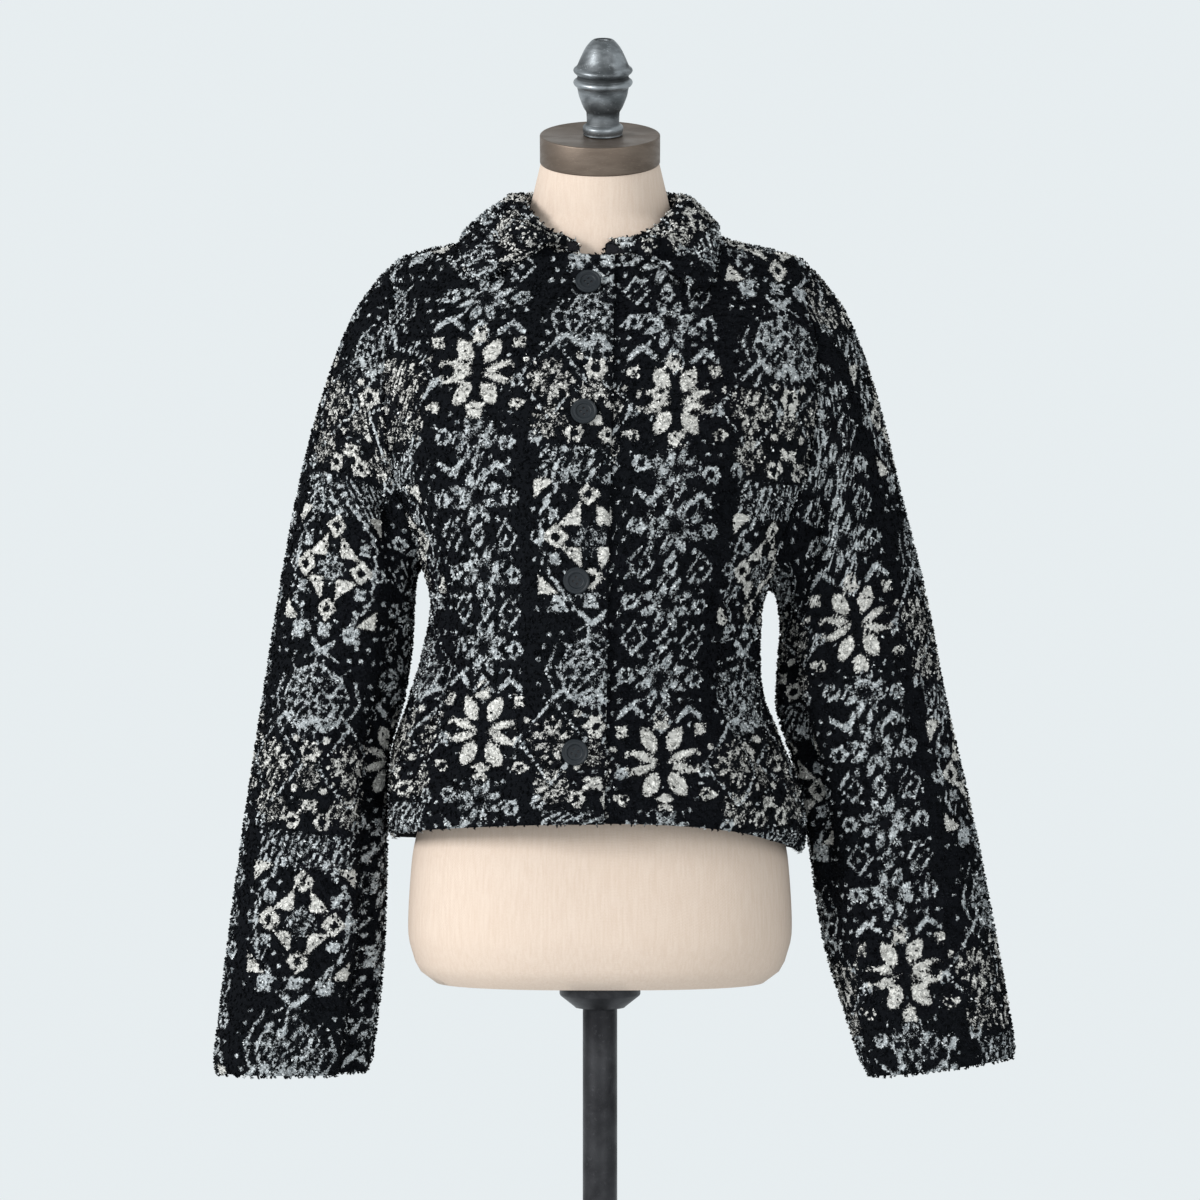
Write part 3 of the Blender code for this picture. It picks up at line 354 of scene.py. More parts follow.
def fold_height(folds: Array, place: Array, along: Array, wide: float) -> Array:
    """How far soft troughs and ridges stand out at places round and along a tube.

    Args:
        folds: rows of angle, along, length, width, rise in millimetres, and slant.
        place: angles in degrees.
        along: positions along the tube.
        wide: millimetres for each radian, or 0 where width is in degrees.

    Returns:
        The heights, in metres.
    """
    total = np.zeros(np.broadcast(place, along).shape)
    for angle, middle, length, width, rise, slant in folds:
        up = along - middle
        aside = (place - angle - slant * up + 180) % 360 - 180
        reach = np.clip(2 * up / length, -1, 1)
        across = np.radians(aside) * wide / width if wide else aside / width
        total += rise / 1000 * (1 - reach * reach) ** 2 * np.exp(-across * across)
    return total


class CoatShape:
    """The outer face of the coat's body, and where its pieces' edges run."""

    form = FormShape()
    wall = 0.004
    layer_gap = 0.0014
    seam_gap = 0.0004
    neck_seam_gap = 0.0007
    stations = Table(
        "z half front back shift square",
        (
            (905, 171.5, 130, 129, -2, 2300), (933, 173.5, 130.5, 128, -2.3, 2300),
            (960, 171.4, 130, 126, -4.3, 2300), (1000, 161.5, 130, 123, -10.5, 2300),
            (1036, 148, 131, 120, -11.5, 2300), (1066, 141, 133, 118, -8.5, 2350),
            (1112, 137, 136, 116, -3, 2400), (1148, 147.5, 138, 115, 0, 2450),
            (1190, 166, 137, 114.5, 0, 2550), (1221, 183, 133.5, 112, 0, 2600),
            (1260, 196, 123.5, 112, 0, 2600), (1288, 201, 114.5, 111, 0, 2600),
            (1320, 201, 103.5, 106, 0, 2500), (1347, 197, 94, 100, 0, 2400),
            (1392, 186, 70, 80, 0, 2000),
        ),
    )
    folds = (
        (148, 1.03, 0.2, 19, -8, -35), (158, 0.96, 0.12, 15, 6, -20), (168, 1, 0.13, 15, -5, 15),
        (36, 1.035, 0.19, 21, -8, 60), (22, 0.965, 0.12, 17, 6, 30),
        (52, 0.975, 0.12, 20, 4.5, 20), (126, 1.235, 0.15, 20, -5, 60),
        (54, 1.225, 0.15, 20, -5, -60), (112, 1, 0.17, 22, -4.5, 10),
        (72, 1.03, 0.16, 26, -3.5, -20), (212, 1.03, 0.22, 22, -7.5, 35),
        (236, 0.995, 0.18, 22, 4.5, -15), (260, 1.05, 0.22, 28, -5, 10),
        (288, 1, 0.19, 24, 4.5, 20), (324, 1.04, 0.21, 22, -7.5, -40),
        (224, 1.26, 0.17, 24, -4.5, -50), (314, 1.25, 0.17, 24, -4.5, 50),
    )
    creases = (
        (150, 1.03, 0.23, 13, -7, -30), (139, 1, 0.17, 10, 2.2, -30),
        (166, 0.985, 0.16, 11, -5, 8), (33, 1.035, 0.22, 14, -7, 50),
        (45, 1.01, 0.17, 10, 2.4, 40), (17, 0.985, 0.16, 12, -5, 20),
        (133, 1.085, 0.15, 10, -2.6, -70), (50, 1.09, 0.15, 10, -2.6, 70),
        (118, 1.19, 0.13, 12, -2, 90), (60, 1.18, 0.13, 12, -2, -90),
        (206, 1.045, 0.22, 14, -5, 30), (330, 1.045, 0.22, 14, -5, -30),
        (250, 1.06, 0.18, 14, -2.5, 15), (297, 1.02, 0.2, 14, -2.8, -15),
    )
    hem_front, hem_back, hem_left, hem_right = 0.939, 0.912, 0.909, 0.921
    neck_side, neck_front, neck_back, neck_dip = 1.428, 1.402, 1.432, 2.2
    shoulder_tip = 1.393
    underarm = {Side.LEFT: 1.132, Side.RIGHT: 1.151}
    overlap_top, overlap_hem, underlap = 0.012, 0.003, 0.043
    sleeve_front, sleeve_back, waist_row = 0.071, 0.066, 1.085
    form_gap, shoulder_ease = 0.0020, 0.0045
    lower_rows, armhole_rows, shoulder_columns = 9, 12, 5
    front_neck_columns, back_neck_columns = 9, 7

    def point(self, angle: Array, z: Array) -> Array:
        """Points of the coat's outer face. On the shoulders it lies on the dress form.

        Args:
            angle: angles round the body.
            z: heights.

        Returns:
            The points.
        """
        angle, z = np.broadcast_arrays(np.asarray(angle, float), np.asarray(z, float))
        row = self.stations.at(z)
        points = self.form.section(angle, z, row, row["square"])
        swell = 1 + fold_height(self.folds + self.creases, angle, z, 130) / row["front"]
        points = points * swell[..., None]
        points[..., 2] = z
        points[..., 0] += row["shift"]
        hug = smooth_step(1.340, 1.392, z)[..., None]
        if not (hug > 0).any():
            return points
        rest = self.form.point(angle, z)
        ease = self.shoulder_ease * smooth_step(0.105, 0.165, np.abs(rest[..., :1]))
        rest = rest + self.form.outward(angle, z) * (self.form_gap + self.wall + ease)
        return points + (rest - points) * hug

    def outward(self, angle: Array, z: Array) -> Array:
        """Normals of the coat's outer face."""
        return slope_normal(self.point, angle, z)

    def lift(self, points: Array) -> Array:
        """How far the right front stands out to pass over the left front."""
        return smooth_step(-0.090, -0.055, points[..., :1]) * (self.wall + self.layer_gap)

    def hem_height(self, angle: Array) -> Array:
        """Height of the hem.

        Args:
            angle: angles round the body.

        Returns:
            The heights.
        """
        turn = np.radians(angle)
        side = mix(self.hem_right, self.hem_left, (1 + np.cos(turn)) / 2)
        middle = np.where(np.sin(turn) > 0, self.hem_front, self.hem_back)
        return mix(side, middle, np.abs(np.sin(turn)) ** (1.25 + 0.35 * np.cos(turn)))

    def angle_for(self, x: Array, z: Array) -> Array:
        """Angles round the front at which the outer face has this x.

        Args:
            x: places across the body.
            z: heights.

        Returns:
            The angles, found by halving.
        """
        x, z = np.broadcast_arrays(np.asarray(x, float), np.asarray(z, float))
        low, high = np.zeros(x.shape), np.full(x.shape, 180.0)
        for _ in range(40):
            middle = (low + high) / 2
            over = self.point(middle, z)[..., 0] > x
            low, high = np.where(over, middle, low), np.where(over, high, middle)
        return (low + high) / 2

    def neck_place(self, turn: Array) -> Array:
        """Places on the neck seam.

        Args:
            turn: turns round the neck, 90 at the front.

        Returns:
            Angles and heights.
        """
        turn = np.asarray(turn, float)
        across = np.cos(np.radians(turn))
        back = np.sin(np.radians(turn)) < -1e-9
        side = np.abs(np.abs(across) - 1) < 1e-7
        z = mix(self.neck_front, self.neck_side, np.abs(across) ** self.neck_dip)
        angle = self.angle_for(self.point(0.0, self.neck_side)[0] * across, z)
        angle = angle + 360 * (turn >= 360)
        z = np.where(back, mix(self.neck_side, self.neck_back, 1 - across * across), z)
        z = np.where(side, self.neck_side, z)
        return np.stack([np.where(back | side, turn, angle), z], -1)

    def turn_at_x(self, x: float) -> float:
        """Turn round the neck at which the front neck seam has this x."""
        return math.degrees(math.acos(x / float(self.point(0.0, self.neck_side)[0])))

    def edge_place(self, side: Side, front: bool, row: int) -> tuple[float, float]:
        """Where a row of a piece's grid meets its side seam or armhole.

        Args:
            side: the wearer's side.
            front: whether the piece is a front.
            row: the row, counted from the hem.

        Returns:
            An angle and a height.
        """
        seam = 0.0 if side is Side.LEFT else 180.0
        if row <= self.lower_rows:
            hem = float(self.hem_height(seam))
            return seam, mix(hem, self.underarm[side], row / self.lower_rows)
        turn = math.pi * ((row - self.lower_rows) / self.armhole_rows - 0.5)
        low, high = self.underarm[side], self.shoulder_tip
        z = (low + high) / 2 + (high - low) / 2 * math.sin(turn)
        reach = self.sleeve_front if front else self.sleeve_back
        reach = reach * math.cos(turn) * (1 - 0.16 * math.sin(turn))
        row_at = self.stations.at(z)
        depth = float(row_at["front"] if front else row_at["back"])
        opening = math.degrees(math.asin((reach / depth) ** (float(row_at["square"]) / 2)))
        return seam + side.value * (1 if front else -1) * opening, z

    def even_out(self, places: Array) -> Array:
        """Slide a grid's inner places over the surface until its cells are even.

        Args:
            places: rows by columns of angles and heights, which are moved.

        Returns:
            The same places.
        """
        turn, lift, base, top = 3.0, 0.003, 0.900, 1.445
        rounds, pull, upper_row, upper_grade = 120, 0.8, 13, 0.84
        angles = np.arange(-turn, 360 + 2 * turn, turn)
        heights = np.arange(base, top, lift)
        samples = self.point(angles[:, None], heights[None, :])

        def read(spots: Array) -> Array:
            """Points of the surface, from the nearest samples."""
            a = (spots[..., 0] % 360) / turn + 1
            z = np.clip((spots[..., 1] - base) / lift, 0, samples.shape[1] - 1.001)
            i, j = a.astype(int), z.astype(int)
            s, t = (a - i)[..., None], (z - j)[..., None]
            low = mix(samples[i, j], samples[i + 1, j], s)
            return mix(low, mix(samples[i, j + 1], samples[i + 1, j + 1], s), t)

        grade = np.ones((len(places) - 2, 1, 1))
        grade[upper_row:] = upper_grade
        for _ in range(rounds):
            points = read(places)
            upright = (points[:-2, 1:-1] * grade + points[2:, 1:-1]) / (1 + grade)
            aim = (2 * upright + points[1:-1, :-2] + points[1:-1, 2:]) / 4
            move = aim - points[1:-1, 1:-1]
            inner = places[1:-1, 1:-1]
            along = (read(inner + (1.0, 0.0)) - read(inner - (1.0, 0.0))) / 2.0
            up = (read(inner + (0.0, 0.002)) - read(inner - (0.0, 0.002))) / 0.004
            aa, au, uu = (along * along).sum(-1), (along * up).sum(-1), (up * up).sum(-1)
            ma, mu = (move * along).sum(-1), (move * up).sum(-1)
            scale = aa * uu - au * au
            places[1:-1, 1:-1, 0] += pull * (ma * uu - mu * au) / scale
            places[1:-1, 1:-1, 1] += pull * (mu * aa - ma * au) / scale
        return places

    def middle_height(self, row: int, hem: float, neck: float) -> float:
        """Height at which a row of the grid meets the centre front or centre back.

        Args:
            row: the row, counted from the hem.
            hem: the hem's height there.
            neck: the neck seam's height there.

        Returns:
            The height.
        """
        if row <= self.lower_rows:
            return mix(hem, self.waist_row, row / self.lower_rows)
        share = (row - self.lower_rows) / self.armhole_rows
        return mix(self.waist_row, neck, 1 - (1 - share) ** 1.3)

    def half(self, side: Side, front: bool, middle: Array, turn: float, columns: int) -> Array:
        """Places of half a piece, from its side seam to its middle edge.

        Args:
            side: the wearer's side.
            front: whether it is a front.
            middle: places of the middle edge.
            turn: where the middle edge meets the neck.
            columns: how many columns the neck has.

        Returns:
            Rows by columns of angles and heights.
        """
        seam = 0.0 if side is Side.LEFT else 180.0
        rows = self.lower_rows + self.armhole_rows
        edge = np.array([self.edge_place(side, front, row) for row in range(rows + 1)])
        total = self.shoulder_columns + columns
        angles = mix(seam, middle[0][0], np.arange(total + 1) / total)
        bottom = np.stack([angles, self.hem_height(angles)], -1)
        share = np.arange(self.shoulder_columns) / self.shoulder_columns
        tip = np.stack([seam + 0 * share, mix(self.shoulder_tip, self.neck_side, share)], -1)
        neck = self.neck_place(mix(seam, turn, np.arange(columns + 1) / columns))
        top = np.concatenate([tip, neck])
        u = (np.arange(total + 1) / total)[None, :, None]
        v = (np.arange(rows + 1) / rows)[:, None, None]
        across = mix(edge[:, None], middle[:, None], u)
        up = mix(bottom[None], top[None], v)
        corner = mix(mix(bottom[0], bottom[-1], u), mix(top[0], top[-1], u), v)
        return self.even_out(across + up - corner)

    def front(self, side: Side) -> Array:
        """Places of a front, from its side seam to its centre edge.

        Args:
            side: the wearer's side.

        Returns:
            Rows by columns of angles and heights.
        """
        left = side is Side.LEFT
        turn = self.turn_at_x(-self.underlap if left else self.overlap_top)
        top = float(self.neck_place(turn)[1])
        rows = range(self.lower_rows + self.armhole_rows + 1)
        z = np.array([self.middle_height(row, self.hem_front, top) for row in rows])
        share = (z - self.hem_front) / (top - self.hem_front)
        x = -self.underlap + 0 * z if left else mix(self.overlap_hem, self.overlap_top, share)
        middle = np.stack([self.angle_for(x, z), z], -1)
        return self.half(side, True, middle, turn, self.front_neck_columns)

    def back(self) -> Array:
        """Places of the back, from the right side seam to the left one."""
        rows = range(self.lower_rows + self.armhole_rows + 1)
        z = [self.middle_height(row, self.hem_back, self.neck_back) for row in rows]
        middle = np.array([(270.0, height) for height in z])
        right = self.half(Side.RIGHT, False, middle, 270, self.back_neck_columns)
        middle = middle - (360.0, 0.0)
        left = self.half(Side.LEFT, False, middle, -90, self.back_neck_columns)
        return np.concatenate([right, left[:, -2::-1] + (360.0, 0.0)], axis=1)


# The print


@dataclass(frozen=True)
class Motif:
    """One figure of the print, with its middle and its reach in the repeat, in millimetres."""

    kind: str
    across: float
    up: float
    size: float
    ink: Ink
    flip_x: int = 1
    flip_y: int = 1


def alike(kind: str, size: float, ink: Ink, *spots: tuple[float, ...]) -> list[Motif]:
    """Figures of one kind and size at several spots, each with its flips where it has any."""
    return [Motif(kind, *spot[:2], size, ink, *spot[2:]) for spot in spots]


def paired(kind: str, size: float, ink: Ink, *spots: tuple[float, ...]) -> list[Motif]:
    """Figures like those, each with its mirror image across the column's middle."""
    spots = [spot if len(spot) > 2 else (*spot, 1, 1) for spot in spots]
    return alike(kind, size, ink, *spots, *((-x, up, -flip, end) for x, up, flip, end in spots))


BLUE, CREAM = Ink.BLUE, Ink.CREAM

DIAMOND_COLUMN = (
    *alike("burst", 40, BLUE, (0, 0)),
    *alike("blossom", 8, BLUE, (-26, 54), (25, 55)),
    *alike("blossom", 7, BLUE, (0, 57)),
    *alike("chevron", 12, BLUE, (0, 43, 1, -1), (0, 273)),
    *alike("frame", 47, BLUE, (0, 108)),
    *paired("triangle", 10, CREAM, (-36, 146, 1, -1), (-36, 71, 1, 1)),
    *paired("triangle", 11, CREAM, (-15, 127, -1, 1), (-15, 90, -1, -1)),
    *paired("ring", 6.5, BLUE, (-43, 108), (-62, 237)),
    *paired("blossom", 6, BLUE, (-28, 127), (-28, 90)),
    *alike("lozenge", 11, CREAM, (0, 143), (0, 74)),
    *paired("lozenge", 12, CREAM, (-27, 108)),
    *alike("star", 14, BLUE, (0, 108)),
    *alike("band", 42, BLUE, (0, 167)),
    *paired("ring", 8.5, CREAM, (13, 193)),
    *paired("ring", 7, BLUE, (-44, 190)),
    *paired("blossom", 6, CREAM, (-3, 206)),
    *paired("star", 15, CREAM, (-34, 203)),
    *paired("star", 19, CREAM, (-34, 239)),
    *paired("diamond", 33, BLUE, (-34, 239)),
    *paired("dot", 3.6, CREAM, (-13, 261), (-13, 219)),
    *paired("dot", 3.2, CREAM, (-55, 256), (-55, 217)),
    *alike("ring", 10, CREAM, (0, 251)),
    *alike("star", 11, CREAM, (0, 230)),
    *paired("chevron", 10, BLUE, (-25, 276)),
)

STAR_COLUMN = (
    *alike("rose", 33, CREAM, (95, 245)),
    *alike("star", 20, BLUE, (95, 188)),
    *alike("star", 25, BLUE, (96, 141), (95, 79), (94, 18)),
    *alike("eye", 14, BLUE, (70, 111), (121, 108), (69, 50), (120, 47)),
    *alike("eye", 12, BLUE, (95, -16)),
    *alike("chevron", 12, BLUE, (74, 166, 1, -1), (116, 163), (70, -8), (120, -11)),
    *alike("ring", 8, BLUE, (65, 141), (127, 139), (64, 80), (126, 77)),
    *alike("ring", 8, BLUE, (123, 184), (67, 192), (64, 20), (125, 17)),
    *alike("ring", 7, BLUE, (95, 110), (94, 48)),
    *alike("ring", 7, CREAM, (95, 281)),
    *alike("ring", 6, CREAM, (61, 215), (129, 217)),
    *alike("blossom", 7, CREAM, (95, 211)),
    *alike("blossom", 6, CREAM, (62, 270), (128, 271)),
)


class NordicPrint:
    """A repeat of two columns of traditional snowflake figures.

    Each figure takes x and y, places across and up from its middle in units of its own size.
    It gives how far inside it they are, in the same units and below 0 outside, so that the
    material can draw the ink's ragged edge.
    """

    wide, high = 0.190, 0.295
    wobble = 0.0007

    def petals(
        self, x: Array, y: Array, turn: float, fat: float, start: float = 0.22, end: float = 0.98
    ) -> Array:
        """Pointed petals round the middle, one in each quarter.

        Args:
            x, y: places in the figure, in units of its size.
            turn: the petals' turn from across, in degrees.
            fat: their half width.
            start, end: how far from the middle they start and end.

        Returns:
            How far inside a petal each place is.
        """
        x, y = np.abs(x), np.abs(y)
        c, s = math.cos(math.radians(turn)), math.sin(math.radians(turn))
        middle, half = (start + end) / 2, (end - start) / 2
        along, aside = x * c + y * s - middle, y * c - x * s
        return (1 - (np.abs(along) / half) ** 1.6 - (np.abs(aside) / fat) ** 1.6) * fat * 0.6

    def star(self, x: Array, y: Array) -> Array:
        """An eight-petalled star, each petal with a slit, and dots between its tips."""
        shape = np.maximum(self.petals(x, y, 22, 0.155), self.petals(x, y, 68, 0.155))
        slit = np.maximum(self.petals(x, y, 22, 0.030), self.petals(x, y, 68, 0.030))
        shape = np.minimum(shape, 0.010 - slit * 2.2)
        high, low = np.maximum(abs(x), abs(y)), np.minimum(abs(x), abs(y))
        tips = 0.11 - np.hypot(high - 0.95, low)
        corners = 0.10 - np.hypot(high - 0.72, low - 0.72)
        return np.maximum(shape, np.maximum(tips, corners))

    def rose(self, x: Array, y: Array) -> Array:
        """A large star whose upper and lower petals are the fat ones."""
        thin = self.petals(x, y, 18, 0.115, 0.14, 0.94)
        fat = self.petals(x, y, 60, 0.205, 0.30, 1.00)
        arrow = 0.14 - np.abs(abs(y) - 0.90) - np.abs(x) * 0.55
        hooks = 0.07 - np.hypot(abs(x) - 0.90, abs(y) - 0.16)
        return np.maximum(np.maximum(thin, fat), np.maximum(arrow, hooks))

    def blossom(self, x: Array, y: Array) -> Array:
        """A small flower of four dots."""
        x, y = np.abs(x), np.abs(y)
        spot = 0.42 - np.hypot(x - 0.5, y - 0.5)
        return np.maximum(spot, 0.30 - np.abs(x - y * 0.2) - np.abs(y - 0.2) * 0.4)

    def ring(self, x: Array, y: Array) -> Array:
        """A small flower with an open middle."""
        r, turn = np.hypot(x, y), np.arctan2(y, x)
        return 0.25 - np.abs(r - 0.64 - 0.14 * np.cos(6 * turn))

    def eye(self, x: Array, y: Array) -> Array:
        """An open lozenge, longer than wide, with a dot in its middle."""
        reach = np.abs(x) * 1.08 + np.abs(y) * 0.88
        teeth = 0.05 * np.cos(12 * np.arctan2(y, x))
        rim = (0.135 - np.abs(reach - 0.78 - teeth)) * 0.75
        return np.maximum(rim, 0.16 - np.hypot(x, y))

    def lozenge(self, x: Array, y: Array) -> Array:
        """A lozenge with a hole."""
        return (0.28 - np.abs(np.abs(x) + np.abs(y) - 0.66)) * 0.7

    def diamond(self, x: Array, y: Array) -> Array:
        """A large diamond drawn in a thin dotted line."""
        line = 0.055 - np.abs(np.abs(x) * 1.1 + np.abs(y) * 0.9 - 0.92) * 0.7
        return line - 0.06 * (np.sin(36 * (np.abs(x) - np.abs(y))) > 0.45)

    def triangle(self, x: Array, y: Array) -> Array:
        """A right-angled triangle with its corner at the lower left."""
        return np.minimum(np.minimum(x + 0.8, y + 0.9), -(x + y) * 0.7 + 0.05)

    def chevron(self, x: Array, y: Array) -> Array:
        """A bent line that points up."""
        line = 0.20 - np.abs(y + np.abs(x) * 0.85 - 0.4) * 0.76
        return np.minimum(line, (1.0 - np.abs(x)) * 0.7)

    def dot(self, x: Array, y: Array) -> Array:
        """A dot."""
        return 1.0 - np.hypot(x, y)

    def frame(self, x: Array, y: Array) -> Array:
        """A stepped thin line round the large diamond of triangles."""
        x, y = np.abs(x), np.abs(y)
        reach = np.maximum(x * 1.18, x * 0.80 + y * 0.62)
        wave = 0.022 * np.sign(np.sin(26 * y))
        return 0.036 - np.abs(reach - 0.96 + wave)

    def burst(self, x: Array, y: Array) -> Array:
        """A snowflake of thin lines, with a tangle round its middle."""
        a, b = np.maximum(abs(x), abs(y)), np.minimum(abs(x), abs(y))
        r = np.hypot(x, y)
        twin = np.minimum(0.022 - np.abs(b - 0.10), 0.42 - np.abs(a - 0.5))
        diagonal = np.minimum(0.022 - np.abs(a - b) * 0.7, 0.98 - r)
        hooks = np.minimum(0.034 - np.abs(a + b * 0.45 - 0.72), 0.30 - np.abs(b - 0.32))
        ends = np.minimum(0.034 - np.abs(a + b * 0.45 - 0.98), 0.22 - np.abs(b - 0.2))
        inner = np.minimum(0.030 - np.abs(a - b * 0.4 - 0.34), 0.22 - np.abs(b - 0.18))
        tangle = np.minimum(np.sin(29 * x) * np.sin(28 * y) * 0.06 - 0.026, 0.60 - r)
        shape = np.maximum(np.maximum(twin, diagonal), np.maximum(hooks, ends))
        return np.maximum(np.maximum(shape, inner), tangle)

    def band(self, x: Array, y: Array) -> Array:
        """A speckled bar, three times as wide as high."""
        speckle = np.sin(38 * x + 2 * np.sin(9 * y)) * np.sin(39 * y + 2 * np.sin(8 * x))
        edge = np.minimum((1.0 - np.abs(x)) * 1.0, 0.38 - np.abs(y))
        return np.minimum(speckle * 0.045 - 0.004, edge)

    def scatter(self, across: Array, up: Array) -> Array:
        """Small dots on a slanting lattice, some of them left out, for the empty ground.

        Args:
            across, up: places on the cloth, in metres.

        Returns:
            How far inside a dot each place is, in metres.
        """
        pitch = 0.0100
        column = np.round(across / pitch + 0.5 * (np.round(up / pitch) % 2))
        row = np.round(up / pitch)
        shift = 0.5 * (row % 2)
        x, y = across - (column - shift) * pitch, up - row * pitch
        kept = (3 * column + 5 * row + column * row) % 7 < 5
        return np.where(kept, 0.0023 - np.hypot(x, y), NO_INK)

    def inks(self, across: Array, up: Array) -> dict[Ink, Array]:
        """How far inside each ink the cloth's places are, in metres, and below 0 outside.

        Args:
            across: places across the cloth.
            up: places up the cloth.

        Returns:
            An array for each ink.
        """
        found = {ink: np.full(across.shape, NO_INK) for ink in Ink}
        across = across + self.wobble * lattice_noise(across, up, 0.006, 11)
        up = up + self.wobble * lattice_noise(across, up, 0.006, 12)
        for motif in DIAMOND_COLUMN + STAR_COLUMN:
            x = (across - motif.across / 1000 + self.wide / 2) % self.wide - self.wide / 2
            y = (up - motif.up / 1000 + self.high / 2) % self.high - self.high / 2
            size = motif.size / 1000
            near = (np.abs(x) < size * 1.15) & (np.abs(y) < size * 1.15)
            inside = getattr(self, motif.kind)(
                x[near] / size * motif.flip_x, y[near] / size * motif.flip_y
            )
            found[motif.ink][near] = np.maximum(found[motif.ink][near], inside * size)
        empty = np.maximum(found[Ink.BLUE], found[Ink.CREAM]) < -0.0028
        dots = np.where(empty, self.scatter(across, up), NO_INK)
        found[Ink.BLUE] = np.maximum(found[Ink.BLUE], dots)
        return found


# Cloth


@dataclass
class ClothGrid:
    """A piece of cloth as grids of points, ready to be made a mesh.

    The outer grid has step times as many spaces as the inner one in both ways.
    """

    name: str
    outer: Array
    inner: Array
    normals: Array
    flat: Array
    closed: bool
    step: int
    cut: tuple[float, float]
    area: float


@dataclass(frozen=True)
class Curl:
    """How the pile's locks are made: sizes in metres, and spreads as shares of them.

    Bare is the share of the locks that stay black on the print, wall how deep locks stand on
    a cloth's edge, and wider how far the collar's ink is spread. A rim's locks are those of
    the outermost cells, which lean out over the edge.
    """

    pitch: float = 0.0036
    length: float = 0.0036
    thick: float = 0.00120
    rise: float = 0.0014
    foot: float = 0.0006
    lengths: tuple[float, float] = (0.65, 1.25)
    thicks: tuple[float, float] = (0.75, 1.25)
    rises: tuple[float, float] = (0.6, 1.3)
    sway: float = 1.6
    swing: float = 0.45
    bend_at: float = 0.45
    flatness: float = 0.8
    taper: float = 0.9
    bare: float = 0.13
    wall: float = 0.0042
    rim_length: float = 0.75
    rim_sway: float = 0.35
    rim_drop: float = -0.0012
    wider: float = 0.0008


def flat_size(flat: Array) -> tuple[float, float]:
    """Width and length of a laid out grid, in metres."""
    across, up = np.ptp(flat.reshape(-1, 2), axis=0)
    return float(across), float(up)


def flat_area(flat: Array) -> float:
    """Area of a laid out grid, in square metres."""
    a = flat[1:, 1:] - flat[:-1, :-1]
    b = flat[1:, :-1] - flat[:-1, 1:]
    return float(np.abs(a[..., 0] * b[..., 1] - a[..., 1] * b[..., 0]).sum() / 2)


def mesh_piece(name: str, points: Array, quads: Array, triangles: Array) -> Piece:
    """Make a smooth mesh object.

    Args:
        name: the object's name.
        points: its points.
        quads, triangles: its faces, as rows of the points' numbers.

    Returns:
        The object, linked to the scene.
    """
    mesh = bpy.data.meshes.new(name)
    quads = np.asarray(quads, np.int32).reshape(-1, 4)
    triangles = np.asarray(triangles, np.int32).reshape(-1, 3)
    corners = np.concatenate([quads.ravel(), triangles.ravel()])
    starts = np.concatenate(
        [np.arange(len(quads)) * 4, len(quads) * 4 + np.arange(len(triangles)) * 3]
    )
    mesh.vertices.add(len(points))
    mesh.vertices.foreach_set("co", np.asarray(points, np.float32).ravel())
    mesh.loops.add(len(corners))
    mesh.loops.foreach_set("vertex_index", corners)
    mesh.polygons.add(len(starts))
    mesh.polygons.foreach_set("loop_start", starts.astype(np.int32))
    mesh.polygons.foreach_set("use_smooth", np.ones(len(starts), bool))
    mesh.update(calc_edges=True)
    piece = bpy.data.objects.new(name, mesh)
    bpy.context.scene.collection.objects.link(piece)
    return piece


def store(piece: Piece, name: str, values: Array) -> None:
    """Keep a number for each point of a piece, for its material to read."""
    attribute = piece.data.attributes.new(name, "FLOAT", "POINT")
    attribute.data.foreach_set("value", np.asarray(values, np.float32).ravel())


def rim_faces(near: Array, far: Array, step: int, turned: bool) -> list[tuple[int, int, int]]:
    """Triangles that join an outer edge to an inner edge with fewer points.

    Args:
        near, far: the points' numbers along the outer and the inner edge.
        step: how many spaces of the outer edge meet one of the inner edge.
        turned: whether the faces look the other way.

    Returns:
        The triangles.
    """
    made = []
    for space in range(len(far) - 1):
        first = space * step
        half = first + (step + 1) // 2
        for i in range(first, first + step):
            made.append((near[i], near[i + 1], far[space if i < half else space + 1]))
            if i + 1 == half:
                made.append((near[half], far[space + 1], far[space]))
    return [tuple(reversed(face)) for face in made] if turned else made


def grid_faces(ids: Array) -> Array:
    """Four-sided faces of a grid of points' numbers."""
    corners = (ids[:-1, :-1], ids[:-1, 1:], ids[1:, 1:], ids[1:, :-1])
    return np.stack([corner.ravel() for corner in corners], -1)


